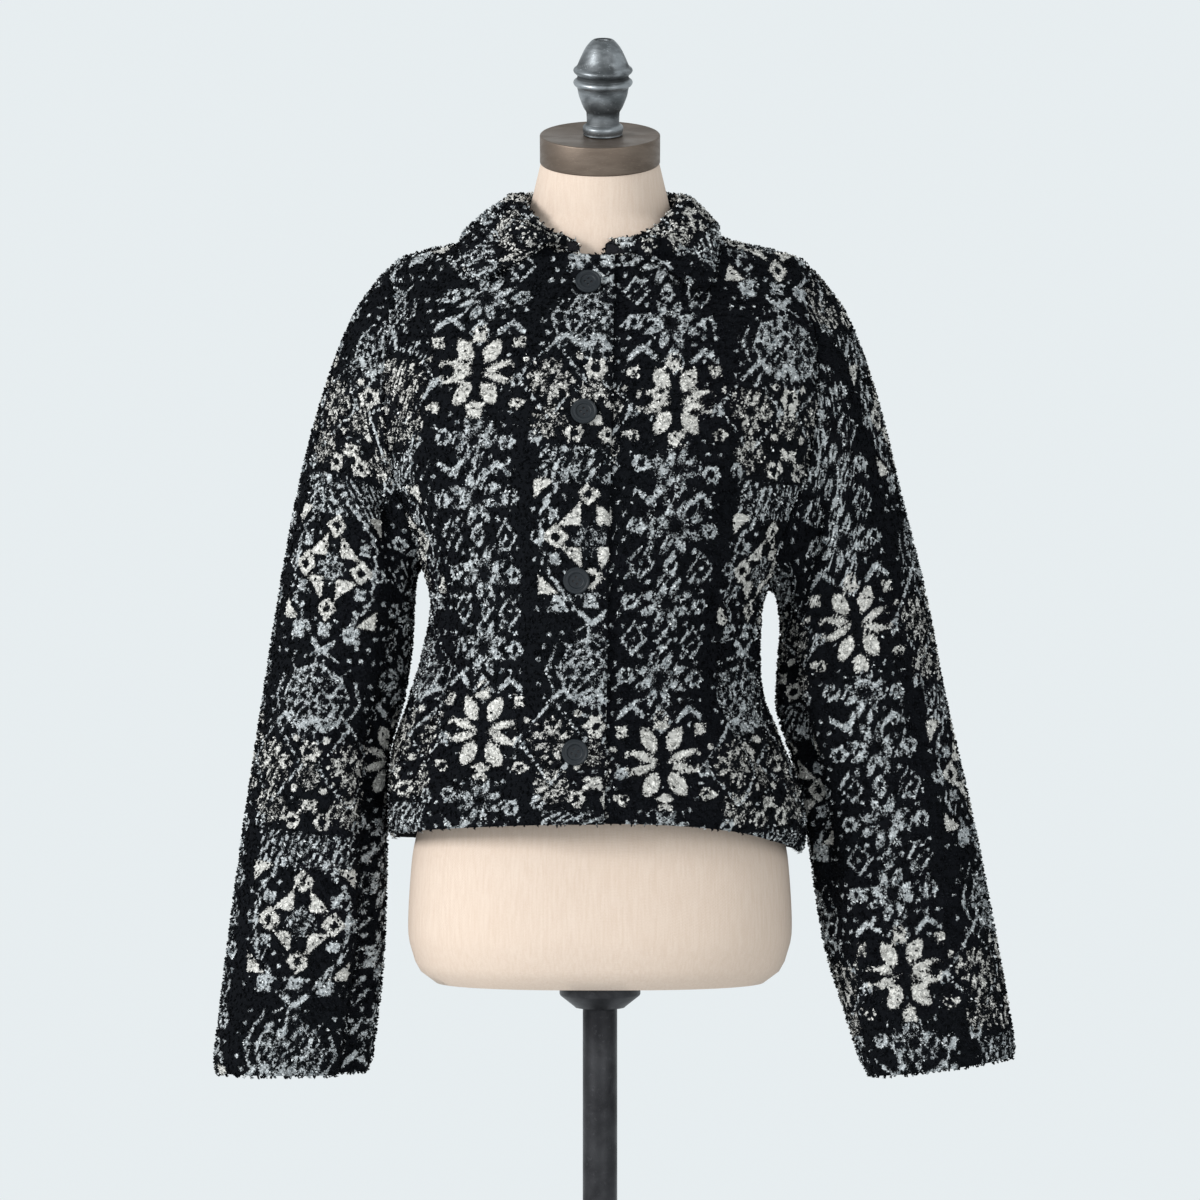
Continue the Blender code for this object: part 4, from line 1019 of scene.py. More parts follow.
def cloth_piece(grid: ClothGrid, pile: Array) -> Piece:
    """Join a grid's outer and inner faces into one closed piece of cloth.

    Args:
        grid: the cloth.
        pile: how far the pile stands out at each outer point.

    Returns:
        The piece, with the print's inks stored on it.
    """
    rows, columns = grid.outer.shape[:2]
    few_rows, few_columns = grid.inner.shape[:2]
    top = grid.outer + grid.normals * pile[..., None]
    ids = np.arange(rows * columns).reshape(rows, columns)
    low = rows * columns + np.arange(few_rows * few_columns).reshape(few_rows, few_columns)
    if grid.closed:
        ids, low = np.hstack([ids, ids[:, :1]]), np.hstack([low, low[:, :1]])
    rims = rim_faces(ids[0], low[0], grid.step, True)
    rims += rim_faces(ids[-1], low[-1], grid.step, False)
    if not grid.closed:
        rims += rim_faces(ids[:, 0], low[:, 0], grid.step, False)
        rims += rim_faces(ids[:, -1], low[:, -1], grid.step, True)
    first = grid.outer[1:, 1:] - grid.outer[:-1, :-1]
    second = grid.outer[1:, :-1] - grid.outer[:-1, 1:]
    facing = (np.cross(first, second) * grid.normals[1:, 1:]).sum() > 0
    faces, rims = np.concatenate([grid_faces(ids), grid_faces(low)[:, ::-1]]), np.array(rims)
    if not facing:
        faces, rims = faces[:, ::-1], rims[:, ::-1]
    points = np.concatenate([top.reshape(-1, 3), grid.inner.reshape(-1, 3)])
    piece = mesh_piece(f"cloth_{grid.name}", points, faces, rims)
    flat = grid.flat[:, :columns].reshape(-1, 2)
    inks = NordicPrint().inks(flat[:, 0], flat[:, 1])
    extra = np.full(few_rows * few_columns, NO_INK)
    for ink, inside in inks.items():
        store(piece, f"{ink.value}_ink", np.concatenate([inside, extra]))
    # The cloth's face gets a middle level, so the fleece paints it in shade under the locks; the
    # backing gets 0.
    store(piece, "pile_shade_and_backing", np.concatenate([0.75 + np.zeros(len(flat)), np.zeros(len(extra))]))
    store(piece, "tone", np.full(len(flat) + len(extra), 0.45))
    return piece


def pile_height(grid: ClothGrid, buttons: list[Vector], reach: float) -> Array:
    """Lumps and hollows of a cloth's curly pile, pressed flat under the buttons.

    Args:
        grid: the cloth.
        buttons: middles of the buttons.
        reach: how far round a button the pile is flat.

    Returns:
        A height for each outer point.
    """
    flat = grid.flat[:, : grid.outer.shape[1]]
    u, v = flat[..., 0], flat[..., 1]
    bend = lattice_noise(u, v, 0.009, 21) * 0.004
    lumps = lattice_noise(u + bend, v - bend, 0.0048, 22)
    broad = lattice_noise(u, v, 0.014, 23)
    height = 0.0006 + 0.0006 * lumps + 0.0004 * broad
    for middle in buttons:
        away = np.linalg.norm(grid.outer - np.array(middle), axis=-1)
        height = height * smooth_step(reach - 0.001, reach + 0.004, away)
    return height


def lock_piece(
    grid: ClothGrid, curl: Curl, seed: int, buttons: list[Vector], reach: float
) -> Piece:
    """Cover a cloth with the short curled locks of its pile.

    Args:
        grid: the cloth that the locks stand on.
        curl: their sizes.
        seed: number that picks their places.
        buttons: middles of the buttons, under which the pile is pressed flat.
        reach: how far round a button that goes.

    Returns:
        One piece of all the locks, each a bent spike with a closed foot.
    """
    rng = np.random.default_rng(SEED + seed)
    rows, columns = grid.outer.shape[:2]
    if grid.closed:
        outer = np.concatenate([grid.outer, grid.outer[:, :1]], 1)
        normals = np.concatenate([grid.normals, grid.normals[:, :1]], 1)
    else:
        outer, normals = grid.outer, grid.normals
    across = outer[:-1, 1:] - outer[:-1, :-1]
    down = outer[1:, :-1] - outer[:-1, :-1]

    def pick(sizes: Array) -> Array:
        """Numbers of the cells that locks stand on, spread evenly by the cells' areas."""
        number = int(sizes.sum() / curl.pitch**2)
        ends = np.cumsum(sizes) / sizes.sum()
        spots = (np.arange(number) + rng.random(number)) / number
        return np.minimum(np.searchsorted(ends, spots), len(sizes) - 1)

    # Each lock's cell, its place in that cell, and how deep it stands on an edge.
    cells = pick(np.linalg.norm(np.cross(across, down), axis=-1).ravel())
    count = len(cells)
    drawn = [cells // across.shape[1], cells % across.shape[1]]
    drawn += [rng.random(count), rng.random(count), np.zeros(count)]
    edges = [(rows - 2, None, 1.0)]
    if grid.name == "collar":
        edges += [(0, None, 0.0), (None, 0, 0.0), (None, columns - 2, 1.0)]
    for row, column, end in edges:
        edge = across[row] if column is None else down[:, column]
        cells = pick(np.linalg.norm(edge, axis=-1) * curl.wall)
        fixed = np.full(len(cells), row if column is None else column)
        free, held = rng.random(len(cells)), np.full(len(cells), end)
        more = (fixed, cells, free, held) if column is None else (cells, fixed, held, free)
        more += (rng.uniform(0.05, 1.0, len(cells)) * curl.wall,)
        drawn = [np.concatenate(pair) for pair in zip(drawn, more)]
    i, j, s, t, deep = drawn
    count = len(i)

    def spot(values: Array) -> Array:
        """The grid's values at the locks' places."""
        low = mix(values[i, j], values[i, j + 1], s[:, None])
        return mix(low, mix(values[i + 1, j], values[i + 1, j + 1], s[:, None]), t[:, None])

    root, normal, flat = spot(outer), unit(spot(normals)), spot(grid.flat)
    # Locks under the buttons are left out.
    kept = np.ones(count, bool)
    for middle in buttons:
        kept &= np.linalg.norm(root - np.array(middle), axis=1) > reach
    root, normal, flat, i, j, deep = (v[kept] for v in (root, normal, flat, i, j, deep))
    deep = deep[:, None]
    root = root - normal * deep
    count = len(root)
    run, drop = across[i, j], down[i, j]
    flat_run = grid.flat[i, j + 1] - grid.flat[i, j]
    flat_drop = grid.flat[i + 1, j] - grid.flat[i, j]
    rr, rd, dd = dot(run, run), dot(run, drop), dot(drop, drop)
    share = np.maximum(rr * dd - rd * rd, 1e-18)

    def laid_out(away: Array) -> Array:
        """Flat places of points a little away from the roots."""
        ar, ad = dot(away, run), dot(away, drop)
        aside = flat_run * (ar * dd - ad * rd) / share
        return flat + aside + flat_drop * (ad * rr - ar * rd) / share

    # Which way each lock stands and lies: down the cloth, or outward on an edge.
    fall = np.array((0.0, 0.0, -1.0)) - normal * -normal[:, 2:3]
    fall = unit(fall + 0.05 * unit(drop))
    out = unit(drop) * ((i == rows - 2) * 1.0 - (i == 0))[:, None]
    if not grid.closed:
        out = out + unit(run) * ((j == columns - 2) * 1.0 - (j == 0))[:, None]
    fall = np.where(deep > 0, normal, fall)
    normal = np.where(deep > 0, unit(out), normal)
    side = unit(np.cross(normal, fall))
    sway = lattice_noise(flat[:, 0], flat[:, 1], 0.010, 31) * curl.sway
    sway = sway + rng.normal(0, 1.0, count)
    lay = fall * np.cos(sway)[:, None] + side * np.sin(sway)[:, None]
    rim = (np.linalg.norm(out, axis=1)[:, None] > 0.5) & (deep == 0)
    lay = unit(np.where(rim, out + curl.rim_sway * lay, lay))
    cross = unit(np.cross(normal, lay))
    # Foot, bend and tip of each lock: three corners, three more and a point.
    long = curl.length * rng.uniform(*curl.lengths, count)[:, None]
    long = long * np.where(rim, curl.rim_length, 1.0)
    thick = curl.thick * rng.uniform(*curl.thicks, count)[:, None]
    rise = curl.rise * rng.uniform(*curl.rises, count)[:, None]
    swing = rng.normal(0, curl.swing, count)[:, None]
    middle = root + lay * long * curl.bend_at + normal * (rise + curl.foot)
    middle = middle + cross * swing * long * 0.5
    tip_rise = np.where(rim, curl.rim_drop, rise * 0.55 + 0.0004)
    tip = root + lay * long + normal * tip_rise + cross * swing * long
    points = np.empty((count, 7, 3))
    for corner in range(3):
        turn = 2 * math.pi * corner / 3
        spoke = cross * math.cos(turn) + normal * math.sin(turn) * curl.flatness
        points[:, corner] = root - normal * curl.foot + spoke * thick
        points[:, 3 + corner] = middle + spoke * thick * curl.taper
    points[:, 6] = tip
    base = (np.arange(count) * 7)[:, None]
    quads = [base + np.array(face) for face in ((0, 1, 4, 3), (1, 2, 5, 4), (2, 0, 3, 5))]
    caps = ((2, 1, 0), (3, 4, 6), (4, 5, 6), (5, 3, 6))
    triangles = [base + np.array(face) for face in caps]
    facing = np.cross(points[0, 1] - points[0, 0], points[0, 3] - points[0, 0])
    outward = points[0, 0] - points[0, :3].mean(0)
    quads, triangles = np.concatenate(quads), np.concatenate(triangles)
    if float(facing @ outward) < 0:
        quads, triangles = quads[:, ::-1], triangles[:, ::-1]
    piece = mesh_piece(f"pile_{grid.name}", points.reshape(-1, 3), quads, triangles)
    # The print at the foot, the bend and the tip.
    bare = rng.random(count) < curl.bare
    wider = curl.wider if grid.name == "collar" else 0.0
    spots = [laid_out(place - root) for place in (root, middle, tip)]
    inks = [NordicPrint().inks(where[:, 0], where[:, 1]) for where in spots]
    for ink in Ink:
        read = np.stack([np.where(bare, NO_INK, found[ink] + wider) for found in inks], -1)
        store(piece, f"{ink.value}_ink", read[:, [0, 0, 0, 1, 1, 1, 2]])
    # Feet get a low level, so the fleece paints shade at the locks' roots.
    store(piece, "pile_shade_and_backing", np.tile((0.5, 0.5, 0.5, 1.0, 1.0, 1.0, 1.0), count))
    store(piece, "tone", np.repeat(rng.random(count), 7))
    return piece


class CoatGrids:
    """Works out each cloth piece's grids from the coat's shape and small tables."""

    step = 3
    right_sleeve = Table(
        "along outer_x outer_z inner_x inner_z half y",
        (
            (0, 186, 1394, 147, 1152, 70, -2), (60, 209, 1359, 154, 1141, 68, 0),
            (160, 230, 1297, 157.5, 1118, 64, 2), (280, 251.5, 1215, 159, 1086, 60, 4),
            (420, 269, 1120, 165, 1040, 58, 6), (560, 284, 1025, 178.5, 985, 55, 8),
            (700, 298.5, 930, 180, 915, 50, 10), (850, 312, 830, 182.5, 825, 44, 10),
            (1000, 325, 723.5, 193.5, 723.5, 38, 8),
        ),
    )
    left_sleeve = Table(
        "along outer_x outer_z inner_x inner_z half y",
        (
            (0, 186, 1394, 147, 1133, 70, -2), (60, 210.5, 1357, 153.5, 1121, 68, 0),
            (160, 231, 1292, 153.5, 1098, 64, 2), (280, 250, 1214, 151, 1070, 60, 4),
            (420, 271.5, 1128, 149, 1033, 58, 6), (560, 290.5, 1032, 164, 980, 55, 8),
            (700, 310.5, 946, 176.5, 915, 50, 10), (850, 330, 848, 188, 840, 44, 10),
            (1000, 349, 737.5, 224, 720.5, 38, 6),
        ),
    )
    right_folds = (
        (118, 0.13, 0.22, 17, -13, 40), (151, 0.68, 1.55, 19, -15, 0),
        (116, 0.66, 1.3, 11, 2.6, 0), (84, 0.17, 0.24, 14, 4.5, 55), (150, 0.2, 0.2, 16, 5, 30),
        (64, 0.4, 0.26, 18, -4.5, -60), (112, 0.52, 0.24, 16, -5.5, 45),
        (70, 0.72, 0.28, 18, -4, 35), (128, 0.8, 0.3, 18, 4, -20), (245, 0.14, 0.22, 18, -11, -40),
        (280, 0.36, 0.26, 18, -5, 45), (238, 0.56, 0.28, 18, -5, -40),
        (275, 0.78, 0.28, 18, -4, 30),
    )
    left_folds = (
        (114, 0.14, 0.24, 17, -13, 45), (154, 0.42, 1.25, 18, -14, 0), (120, 0.42, 1, 11, 2.6, 0),
        (82, 0.16, 0.22, 14, 4.5, 60), (148, 0.22, 0.2, 16, 5, 25), (98, 0.4, 0.26, 16, -5.5, -55),
        (62, 0.56, 0.26, 18, -4.5, 40), (120, 0.66, 0.26, 18, -5, -35),
        (84, 0.86, 0.26, 18, -3.5, 25), (243, 0.15, 0.22, 18, -11, -45),
        (285, 0.42, 0.28, 18, -5, 40), (236, 0.62, 0.28, 18, -5, 35),
        (272, 0.84, 0.26, 18, -4, -30),
    )
    collar_line = Table(
        "turn rise lean edge_x edge_y edge_z edge_lift",
        (
            (102.6, 10, 0, -94, -72, 1385, 6), (112, 10.5, 1, -105, -66, 1388, 5),
            (124, 12.5, 2, -112, -54, 1396, 4.2), (138, 16.5, 4, -114, -36, 1408, 4),
            (158, 22, 8, -114.5, -12, 1417, 4), (180, 25, 10, -113, 12, 1419, 4),
            (225, 30, 7, -86, 66, 1406, 5), (270, 32, 4, 0, 86, 1404, 7),
            (315, 30, 7, 78, 67, 1406, 5), (360, 24, 8, 96, 12, 1424, 4),
            (382, 21, 7, 95.5, -18, 1420, 4), (402, 16.5, 4, 95, -44, 1406, 4.5),
            (420, 13, 2, 94, -61, 1390, 6), (435, 11, 1, 91, -74, 1377, 7),
            (446, 10.5, 0, 83, -81, 1370, 7),
        ),
        1,
    )
    collar_wall, collar_gap, collar_roll = 0.005, 0.0012, 0.0060
    roll_steps, fall_steps = 4, 5
    edge_sinks = (0.62, 0.26, 0.07)

    def __init__(self) -> None:
        """Keep the coat's shape and the coarse places of its front and back pieces."""
        self.coat = CoatShape()
        self.times = 6
        self.places = {
            "front_right": self.coat.front(Side.RIGHT),
            "front_left": self.coat.front(Side.LEFT),
            "back": self.coat.back(),
        }

    def body_points(self, name: str, places: Array) -> tuple[Array, Array]:
        """Outer points and normals of a front or the back.

        Args:
            name: front_right, front_left or back.
            places: angles and heights.

        Returns:
            The points and the normals.
        """
        points = self.coat.point(places[..., 0], places[..., 1])
        normals = self.coat.outward(places[..., 0], places[..., 1])
        if name == "front_right":
            points = points + normals * self.coat.lift(points)
        return points, normals

    def finish_grid(
        self, name: str, outer: Array, normals: Array, walls: Array, flat: Array, closed: bool
    ) -> ClothGrid:
        """Round a grid's edges over and pick its inner points.

        Args:
            name: the node that the cloth stands for.
            outer: outer points.
            normals: outward normals.
            walls: the wall's thickness, a number or one for each point.
            flat: the grid laid out flat, with one column more where it is closed.
            closed: whether the columns go all the way round.

        Returns:
            The grid, ready to be made a mesh.
        """
        rows, columns = outer.shape[:2]
        walls = np.broadcast_to(walls, (rows, columns))[..., None]
        inner = (outer - normals * walls)[:: self.step, :: self.step]
        edge = np.minimum(np.arange(rows), np.arange(rows)[::-1])[:, None] + np.zeros(columns)
        if not closed:
            side = np.minimum(np.arange(columns), np.arange(columns)[::-1])
            edge = np.minimum(edge, side[None, :])
        sink = np.select([edge == 0, edge == 1, edge == 2], self.edge_sinks, 0.0)[..., None]
        outer = outer - normals * walls * sink
        size, area = flat_size(flat), flat_area(flat)
        return ClothGrid(name, outer, inner, normals, flat, closed, self.step, size, area)

    def body(self, name: str, across: float, up: float) -> ClothGrid:
        """A front or the back, with the print's repeat set at its own place.

        Args:
            name: front_right, front_left or back.
            across: where the print's diamond column lies from the centre line, in metres.
            up: where its burst lies above the origin, in metres.

        Returns:
            The piece's grid.
        """
        places = self.places[name]
        coarse, _ = self.body_points(name, places)
        middle = 270.0 if name == "back" else 90.0
        turned = -1.0 if name != "back" else 1.0
        girth = np.radians(places[..., 0] - middle) * 0.17 * turned
        flat = flatten(coarse, np.stack([girth, coarse[..., 2]], -1))
        spot = np.argmin(np.abs(coarse[..., 0]) + 5 * np.abs(coarse[..., 2] - 1.15))
        flat = flat - flat.reshape(-1, 2)[spot]
        flat = flat + (coarse[..., 0].ravel()[spot], 1.15)
        corner, centre = self.coat.lower_rows, self.coat.shoulder_columns
        breaks = (centre,)
        if name == "back":
            breaks = (centre, places.shape[1] - 1 - centre)
        fine, flat = (
            refine(refine(grid, self.times, (corner,), 0), self.times, breaks, 1)
            for grid in (places, flat)
        )
        outer, normals = self.body_points(name, fine)
        placed = flat - (across, up)
        return self.finish_grid(name, outer, normals, self.coat.wall, placed, False)

    def sleeve(self, side: Side, across: float, up: float) -> ClothGrid:
        """A sleeve from the armhole to the cuff, with the print set along it.

        Args:
            side: the wearer's side.
            across: where the print's diamond column lies from the top line, in metres.
            up: where its burst lies above the cuff, in metres.

        Returns:
            The sleeve's grid.
        """
        name = "sleeve_left" if side is Side.LEFT else "sleeve_right"
        table = self.left_sleeve if side is Side.LEFT else self.right_sleeve
        folds = self.left_folds if side is Side.LEFT else self.right_folds
        coat = self.coat
        rows = range(coat.lower_rows, coat.lower_rows + coat.armhole_rows + 1)
        halves = []
        for front in (True, False):
            edge = np.array([coat.edge_place(side, front, row) for row in rows])
            edge = edge[::-1] if front else edge
            halves.append(refine(edge[:, None], self.times, (), 0)[:-1, 0])
        ring = np.concatenate(halves)
        points = coat.point(ring[:, 0], ring[:, 1])
        normal = coat.outward(ring[:, 0], ring[:, 1])
        run = np.roll(points, -1, 0) - np.roll(points, 1, 0)
        first = points + unit(np.cross(normal, run)) * side.value * coat.seam_gap
        count = len(ring)
        angles = np.arange(count) * 360 / count
        down = 24 * self.times
        along = (np.arange(down + 1) / down) ** 1.12

        def smooth_ring(where: Array) -> Array:
            """Rings of points at shares of the way down the sleeve."""
            row = table.at(where[:, None] + 0 * angles)
            top = np.stack([side.value * row["outer_x"], row["y"], row["outer_z"]], -1)
            low = np.stack([side.value * row["inner_x"], row["y"], row["inner_z"]], -1)
            bulge = 1 + fold_height(folds, angles, where[:, None], 0.0) / row["half"]
            turn = np.radians(angles)
            swing = (top - low) / 2 * bent(np.cos(turn), 2.15)[None, :, None]
            swing[..., 1] -= row["half"] * bent(np.sin(turn), 2.15)
            return (top + low) / 2 + swing * bulge[..., None]

        tube = smooth_ring(along)
        fade = (np.maximum(0.0, 1 - along / 0.22) ** 2)[:, None, None]
        tube = tube + (first - tube[0]) * fade
        middle = tube.mean(1, keepdims=True)
        normals = grid_normals(tube, True, tube - middle)
        half = count // 2
        order = (np.arange(count + 1) + half) % count
        girth = np.linalg.norm(np.roll(tube, -1, 1) - tube, axis=-1)[:, order[:-1]]
        start = np.cumsum(np.concatenate([np.zeros((len(tube), 1)), girth], 1), 1)
        start = (start - start[:, half : half + 1]) * -side.value
        rolled = np.stack([start, tube[:, order, 2]], -1)
        few = self.times
        coarse = flatten(tube[:: few, order[::few]], rolled[::few, ::few])
        flat = refine(refine(coarse, few, (), 0), few, (), 1)
        flat = flat - flat[-1, half]
        unrolled = np.empty((len(tube), count + 1, 2))
        unrolled[:, order] = flat
        unrolled[:, count] = unrolled[:, 0]
        made = self.finish_grid(name, tube, normals, coat.wall, unrolled - (across, up), True)
        made.area, made.cut = flat_area(flat), flat_size(flat)
        return made

    def panel_tree(self) -> BVHTree:
        """A tree for finding the nearest outer face of the fronts and the back."""
        points, faces = [], []
        for name, flip in (("front_left", True), ("front_right", False), ("back", True)):
            grid, _ = self.body_points(name, self.places[name])
            rows, columns = grid.shape[:2]
            base = len(points)
            points += [tuple(p) for p in grid.reshape(-1, 3)]
            for row in range(rows - 1):
                for column in range(columns - 1):
                    corner = base + row * columns + column
                    face = (corner, corner + 1, corner + columns + 1, corner + columns)
                    faces.append(tuple(reversed(face)) if flip else face)
        return BVHTree.FromPolygons(points, faces)

    def collar_turns(self) -> list[float]:
        """Turns of the collar's columns, the same as those of the panels along the neck."""
        coat = self.coat
        first, last = float(self.collar_line.keys[0]), float(self.collar_line.keys[-1])
        turns = []
        for start, end, columns in (
            (180, coat.turn_at_x(coat.overlap_top), coat.front_neck_columns),
            (180, 270, coat.back_neck_columns),
            (270, 360, coat.back_neck_columns),
            (360, 360 + coat.turn_at_x(-coat.underlap), coat.front_neck_columns),
        ):
            turns += [mix(start, end, column / columns) for column in range(columns + 1)]
        inside = {round(t, 4) for t in turns if first + 2.5 < t < last - 2.5}
        return [first, *sorted(inside), last]

    def raise_above(self, lines: list[list[Vector]], tree: BVHTree, first: int) -> None:
        """Lift the fall's steps until its cells clear the panels below.

        Args:
            lines: the collar's lines, from the neck seam to its edge, which are moved.
            tree: the panels' outer faces.
            first: the step at which the fall begins.
        """
        clear = self.collar_wall / 2 + self.collar_gap
        spots = ((0, 0), (0.5, 0), (1, 0), (0, 0.5), (0.5, 0.5), (1, 0.5), (0.5, 1), (1, 1))
        for _ in range(5):
            for near, far in zip(lines, lines[1:]):
                for step in range(first, len(near) - 1):
                    lift, way = 0.0, None
                    for s, t in spots:
                        low = near[step].lerp(near[step + 1], s)
                        spot = low.lerp(far[step].lerp(far[step + 1], s), t)
                        hit, face, _, _ = tree.find_nearest(spot)
                        short = clear - (spot - hit).dot(face)
                        if short > lift:
                            lift, way = short, face
                    if way is None:
                        continue
                    for line in (near, far):
                        line[step + 1] = line[step + 1] + way * lift * 0.7
                        if step > first:
                            line[step] = line[step] + way * lift * 0.7

    def collar(self, across: float, up: float) -> ClothGrid:
        """The collar: a stand from the neck seam, a roll, and a fall to the collar's edge.

        Args:
            across: where the print's diamond column lies from the grid's start, in metres.
            up: where its burst lies above the neck seam, in metres.

        Returns:
            The collar's grid.
        """
        coat, tree = self.coat, self.panel_tree()
        lines = []
        for turn in self.collar_turns():
            row = {key: float(value) for key, value in self.collar_line.at(turn).items()}
            angle, z = (float(value) for value in coat.neck_place(turn))
            point = coat.point(angle, z)
            normal = coat.outward(angle, z)
            if turn < 180:
                point = point + normal * coat.lift(point)
            up_it = unit(coat.point(angle, z) - coat.point(angle, z - 0.002))
            seam = point + up_it * coat.neck_seam_gap
            root = Vector(seam - normal * coat.wall / 2)
            aim = Vector((row["edge_x"], row["edge_y"], row["edge_z"]))
            near, face, _, _ = tree.find_nearest(aim)
            edge = near + face * row["edge_lift"]
            out = Vector((edge.x - root.x, edge.y - root.y, 0)).normalized()
            inward = Vector((-root.x, -root.y, 0)).normalized()
            roll = min(self.collar_roll, row["rise"] * 0.55)
            stand = root + Vector((0, 0, row["rise"] - roll)) + inward * row["lean"]
            line = [root, root.lerp(stand, 0.5), stand]
            for step in range(1, self.roll_steps + 1):
                bend = math.pi * 0.8 * step / self.roll_steps
                swing = Vector((0, 0, math.sin(bend))) - out * math.cos(bend)
                line.append(stand + out * roll + swing * roll)
            start = line[-1]
            knee = start.lerp(edge, 0.5) + Vector((0, 0, 0.004)) + out * 0.001
            for step in range(1, self.fall_steps + 1):
                t = step / self.fall_steps
                line.append(start * (1 - t) ** 2 + knee * 2 * t * (1 - t) + edge * t * t)
            lines.append(line)
        self.raise_above(lines, tree, len(lines[0]) - 1 - self.fall_steps)
        coarse = np.array([[tuple(p) for p in line] for line in lines]).transpose(1, 0, 2)
        run = np.linalg.norm(np.diff(coarse, axis=1), axis=-1).mean(0)
        fall = np.linalg.norm(np.diff(coarse, axis=0), axis=-1).mean(1)
        run, fall = (np.concatenate([[0], np.cumsum(gaps)]) for gaps in (run, fall))
        flat = flatten(coarse, np.stack(np.meshgrid(run, -fall), -1))
        steps = 2
        fine, flat = (refine(refine(grid, 3, (), 0), steps * 3, (), 1) for grid in (coarse, flat))
        away = fine - (fine[:1] * 0.5 + fine[-1:] * 0.5) + np.array((0, 0, 0.004))
        normals = grid_normals(fine, False, away)
        outer = fine + normals * self.collar_wall / 2
        return self.finish_grid(
            "collar", outer, normals, self.collar_wall, flat - (across, up), False
        )


# Shader nodes


class Nodes:
    """Shorthand for placing shader nodes in one tree."""

    def __init__(self, tree: bpy.types.NodeTree) -> None:
        """Keep the tree that the nodes go in."""
        self.tree = tree

    def fill(self, node: bpy.types.Node, values: dict) -> None:
        """Set a node's inputs, or link them to the sockets given for them.

        Args:
            node: the node.
            values: a value or a socket for each input.
        """
        for key, value in values.items():
            if isinstance(value, Socket):
                self.tree.links.new(value, node.inputs[key])
            else:
                node.inputs[key].default_value = value

    def add(self, kind: str, values: dict | None = None, **settings: object) -> bpy.types.Node:
        """Add a node.

        Args:
            kind: its type.
            values: for its inputs, a value or a socket each.
            settings: its properties.

        Returns:
            The node.
        """
        node = self.tree.nodes.new(kind)
        for name, value in settings.items():
            setattr(node, name, value)
        self.fill(node, values or {})
        return node

    def sum(self, operation: str, *values: Socket | float) -> Socket:
        """One sum on numbers."""
        return self.add("ShaderNodeMath", dict(enumerate(values)), operation=operation).outputs[0]

    def vector(self, operation: str, values: dict) -> Socket:
        """One sum on vectors."""
        return self.add("ShaderNodeVectorMath", values, operation=operation).outputs[0]

    def noise(self, where: Socket, scale: float, detail: float = 2.0, bend: float = 0.0) -> Socket:
        """Noise from 0 to 1; scale is its features in each metre."""
        values = {"Vector": where, "Scale": scale, "Detail": detail, "Distortion": bend}
        return self.add("ShaderNodeTexNoise", values).outputs["Fac"]

    def ramp(self, value: Socket, low: float, high: float) -> Socket:
        """Soft step from 0 at low to 1 at high."""
        values = {"Value": value, "From Min": low, "From Max": high}
        node = self.add("ShaderNodeMapRange", values, interpolation_type="SMOOTHSTEP")
        return node.outputs["Result"]

    def blend(self, share: Socket, first: Socket | Colour, second: Socket | Colour) -> Socket:
        """Mix two colours."""
        values = {0: share, 6: first, 7: second}
        return self.add("ShaderNodeMix", values, data_type="RGBA").outputs[2]

    def group(self, made: NodeGroup, values: dict) -> bpy.types.Node:
        """Place a node group with its own values."""
        return self.add("ShaderNodeGroup", values, node_tree=made.tree)


class NodeGroup(Nodes):
    """A shader node group that is built once and placed in several materials."""

    def __init__(
        self, name: str, inputs: dict[str, float | None], outputs: tuple[str, ...]
    ) -> None:
        """Make the group with its sockets.

        Args:
            name: the group's name.
            inputs: each input's name and first value, with None for a vector.
            outputs: names of its outputs, all of them numbers.
        """
        super().__init__(bpy.data.node_groups.new(name, "ShaderNodeTree"))
        for label, value in inputs.items():
            kind = "NodeSocketVector" if value is None else "NodeSocketFloat"
            socket = self.tree.interface.new_socket(label, in_out="INPUT", socket_type=kind)
            if value is not None:
                socket.default_value = value
        for label in outputs:
            self.tree.interface.new_socket(label, in_out="OUTPUT", socket_type="NodeSocketFloat")
        self.take = self.tree.nodes.new("NodeGroupInput").outputs
        self.end = self.tree.nodes.new("NodeGroupOutput")

    def give(self, **values: Socket) -> None:
        """Send values out of the group."""
        self.fill(self.end, values)


def pile_group() -> NodeGroup:
    """Curly pile: a height for its locks, and the shade deep between them."""
    nodes = NodeGroup("curly pile", {"Place": None, "Locks": 260.0}, ("Height", "Shade"))
    place = nodes.take["Place"]
    warp = nodes.add("ShaderNodeTexNoise", {"Vector": place, "Scale": 150.0, "Detail": 1.0})
    bend = nodes.vector("SCALE", {0: warp.outputs["Color"], "Scale": 0.012})
    moved = nodes.vector("ADD", {0: place, 1: bend})
    cells = nodes.add("ShaderNodeTexVoronoi", {"Vector": moved, "Scale": nodes.take["Locks"]})
    fibre = nodes.noise(moved, 900.0, 3.0)
    lock = nodes.ramp(cells.outputs["Distance"], 0.75, 0.05)
    height = nodes.sum("MULTIPLY_ADD", fibre, 0.55, lock)
    nodes.give(Height=height, Shade=nodes.ramp(height, 0.35, 1.05))
    return nodes


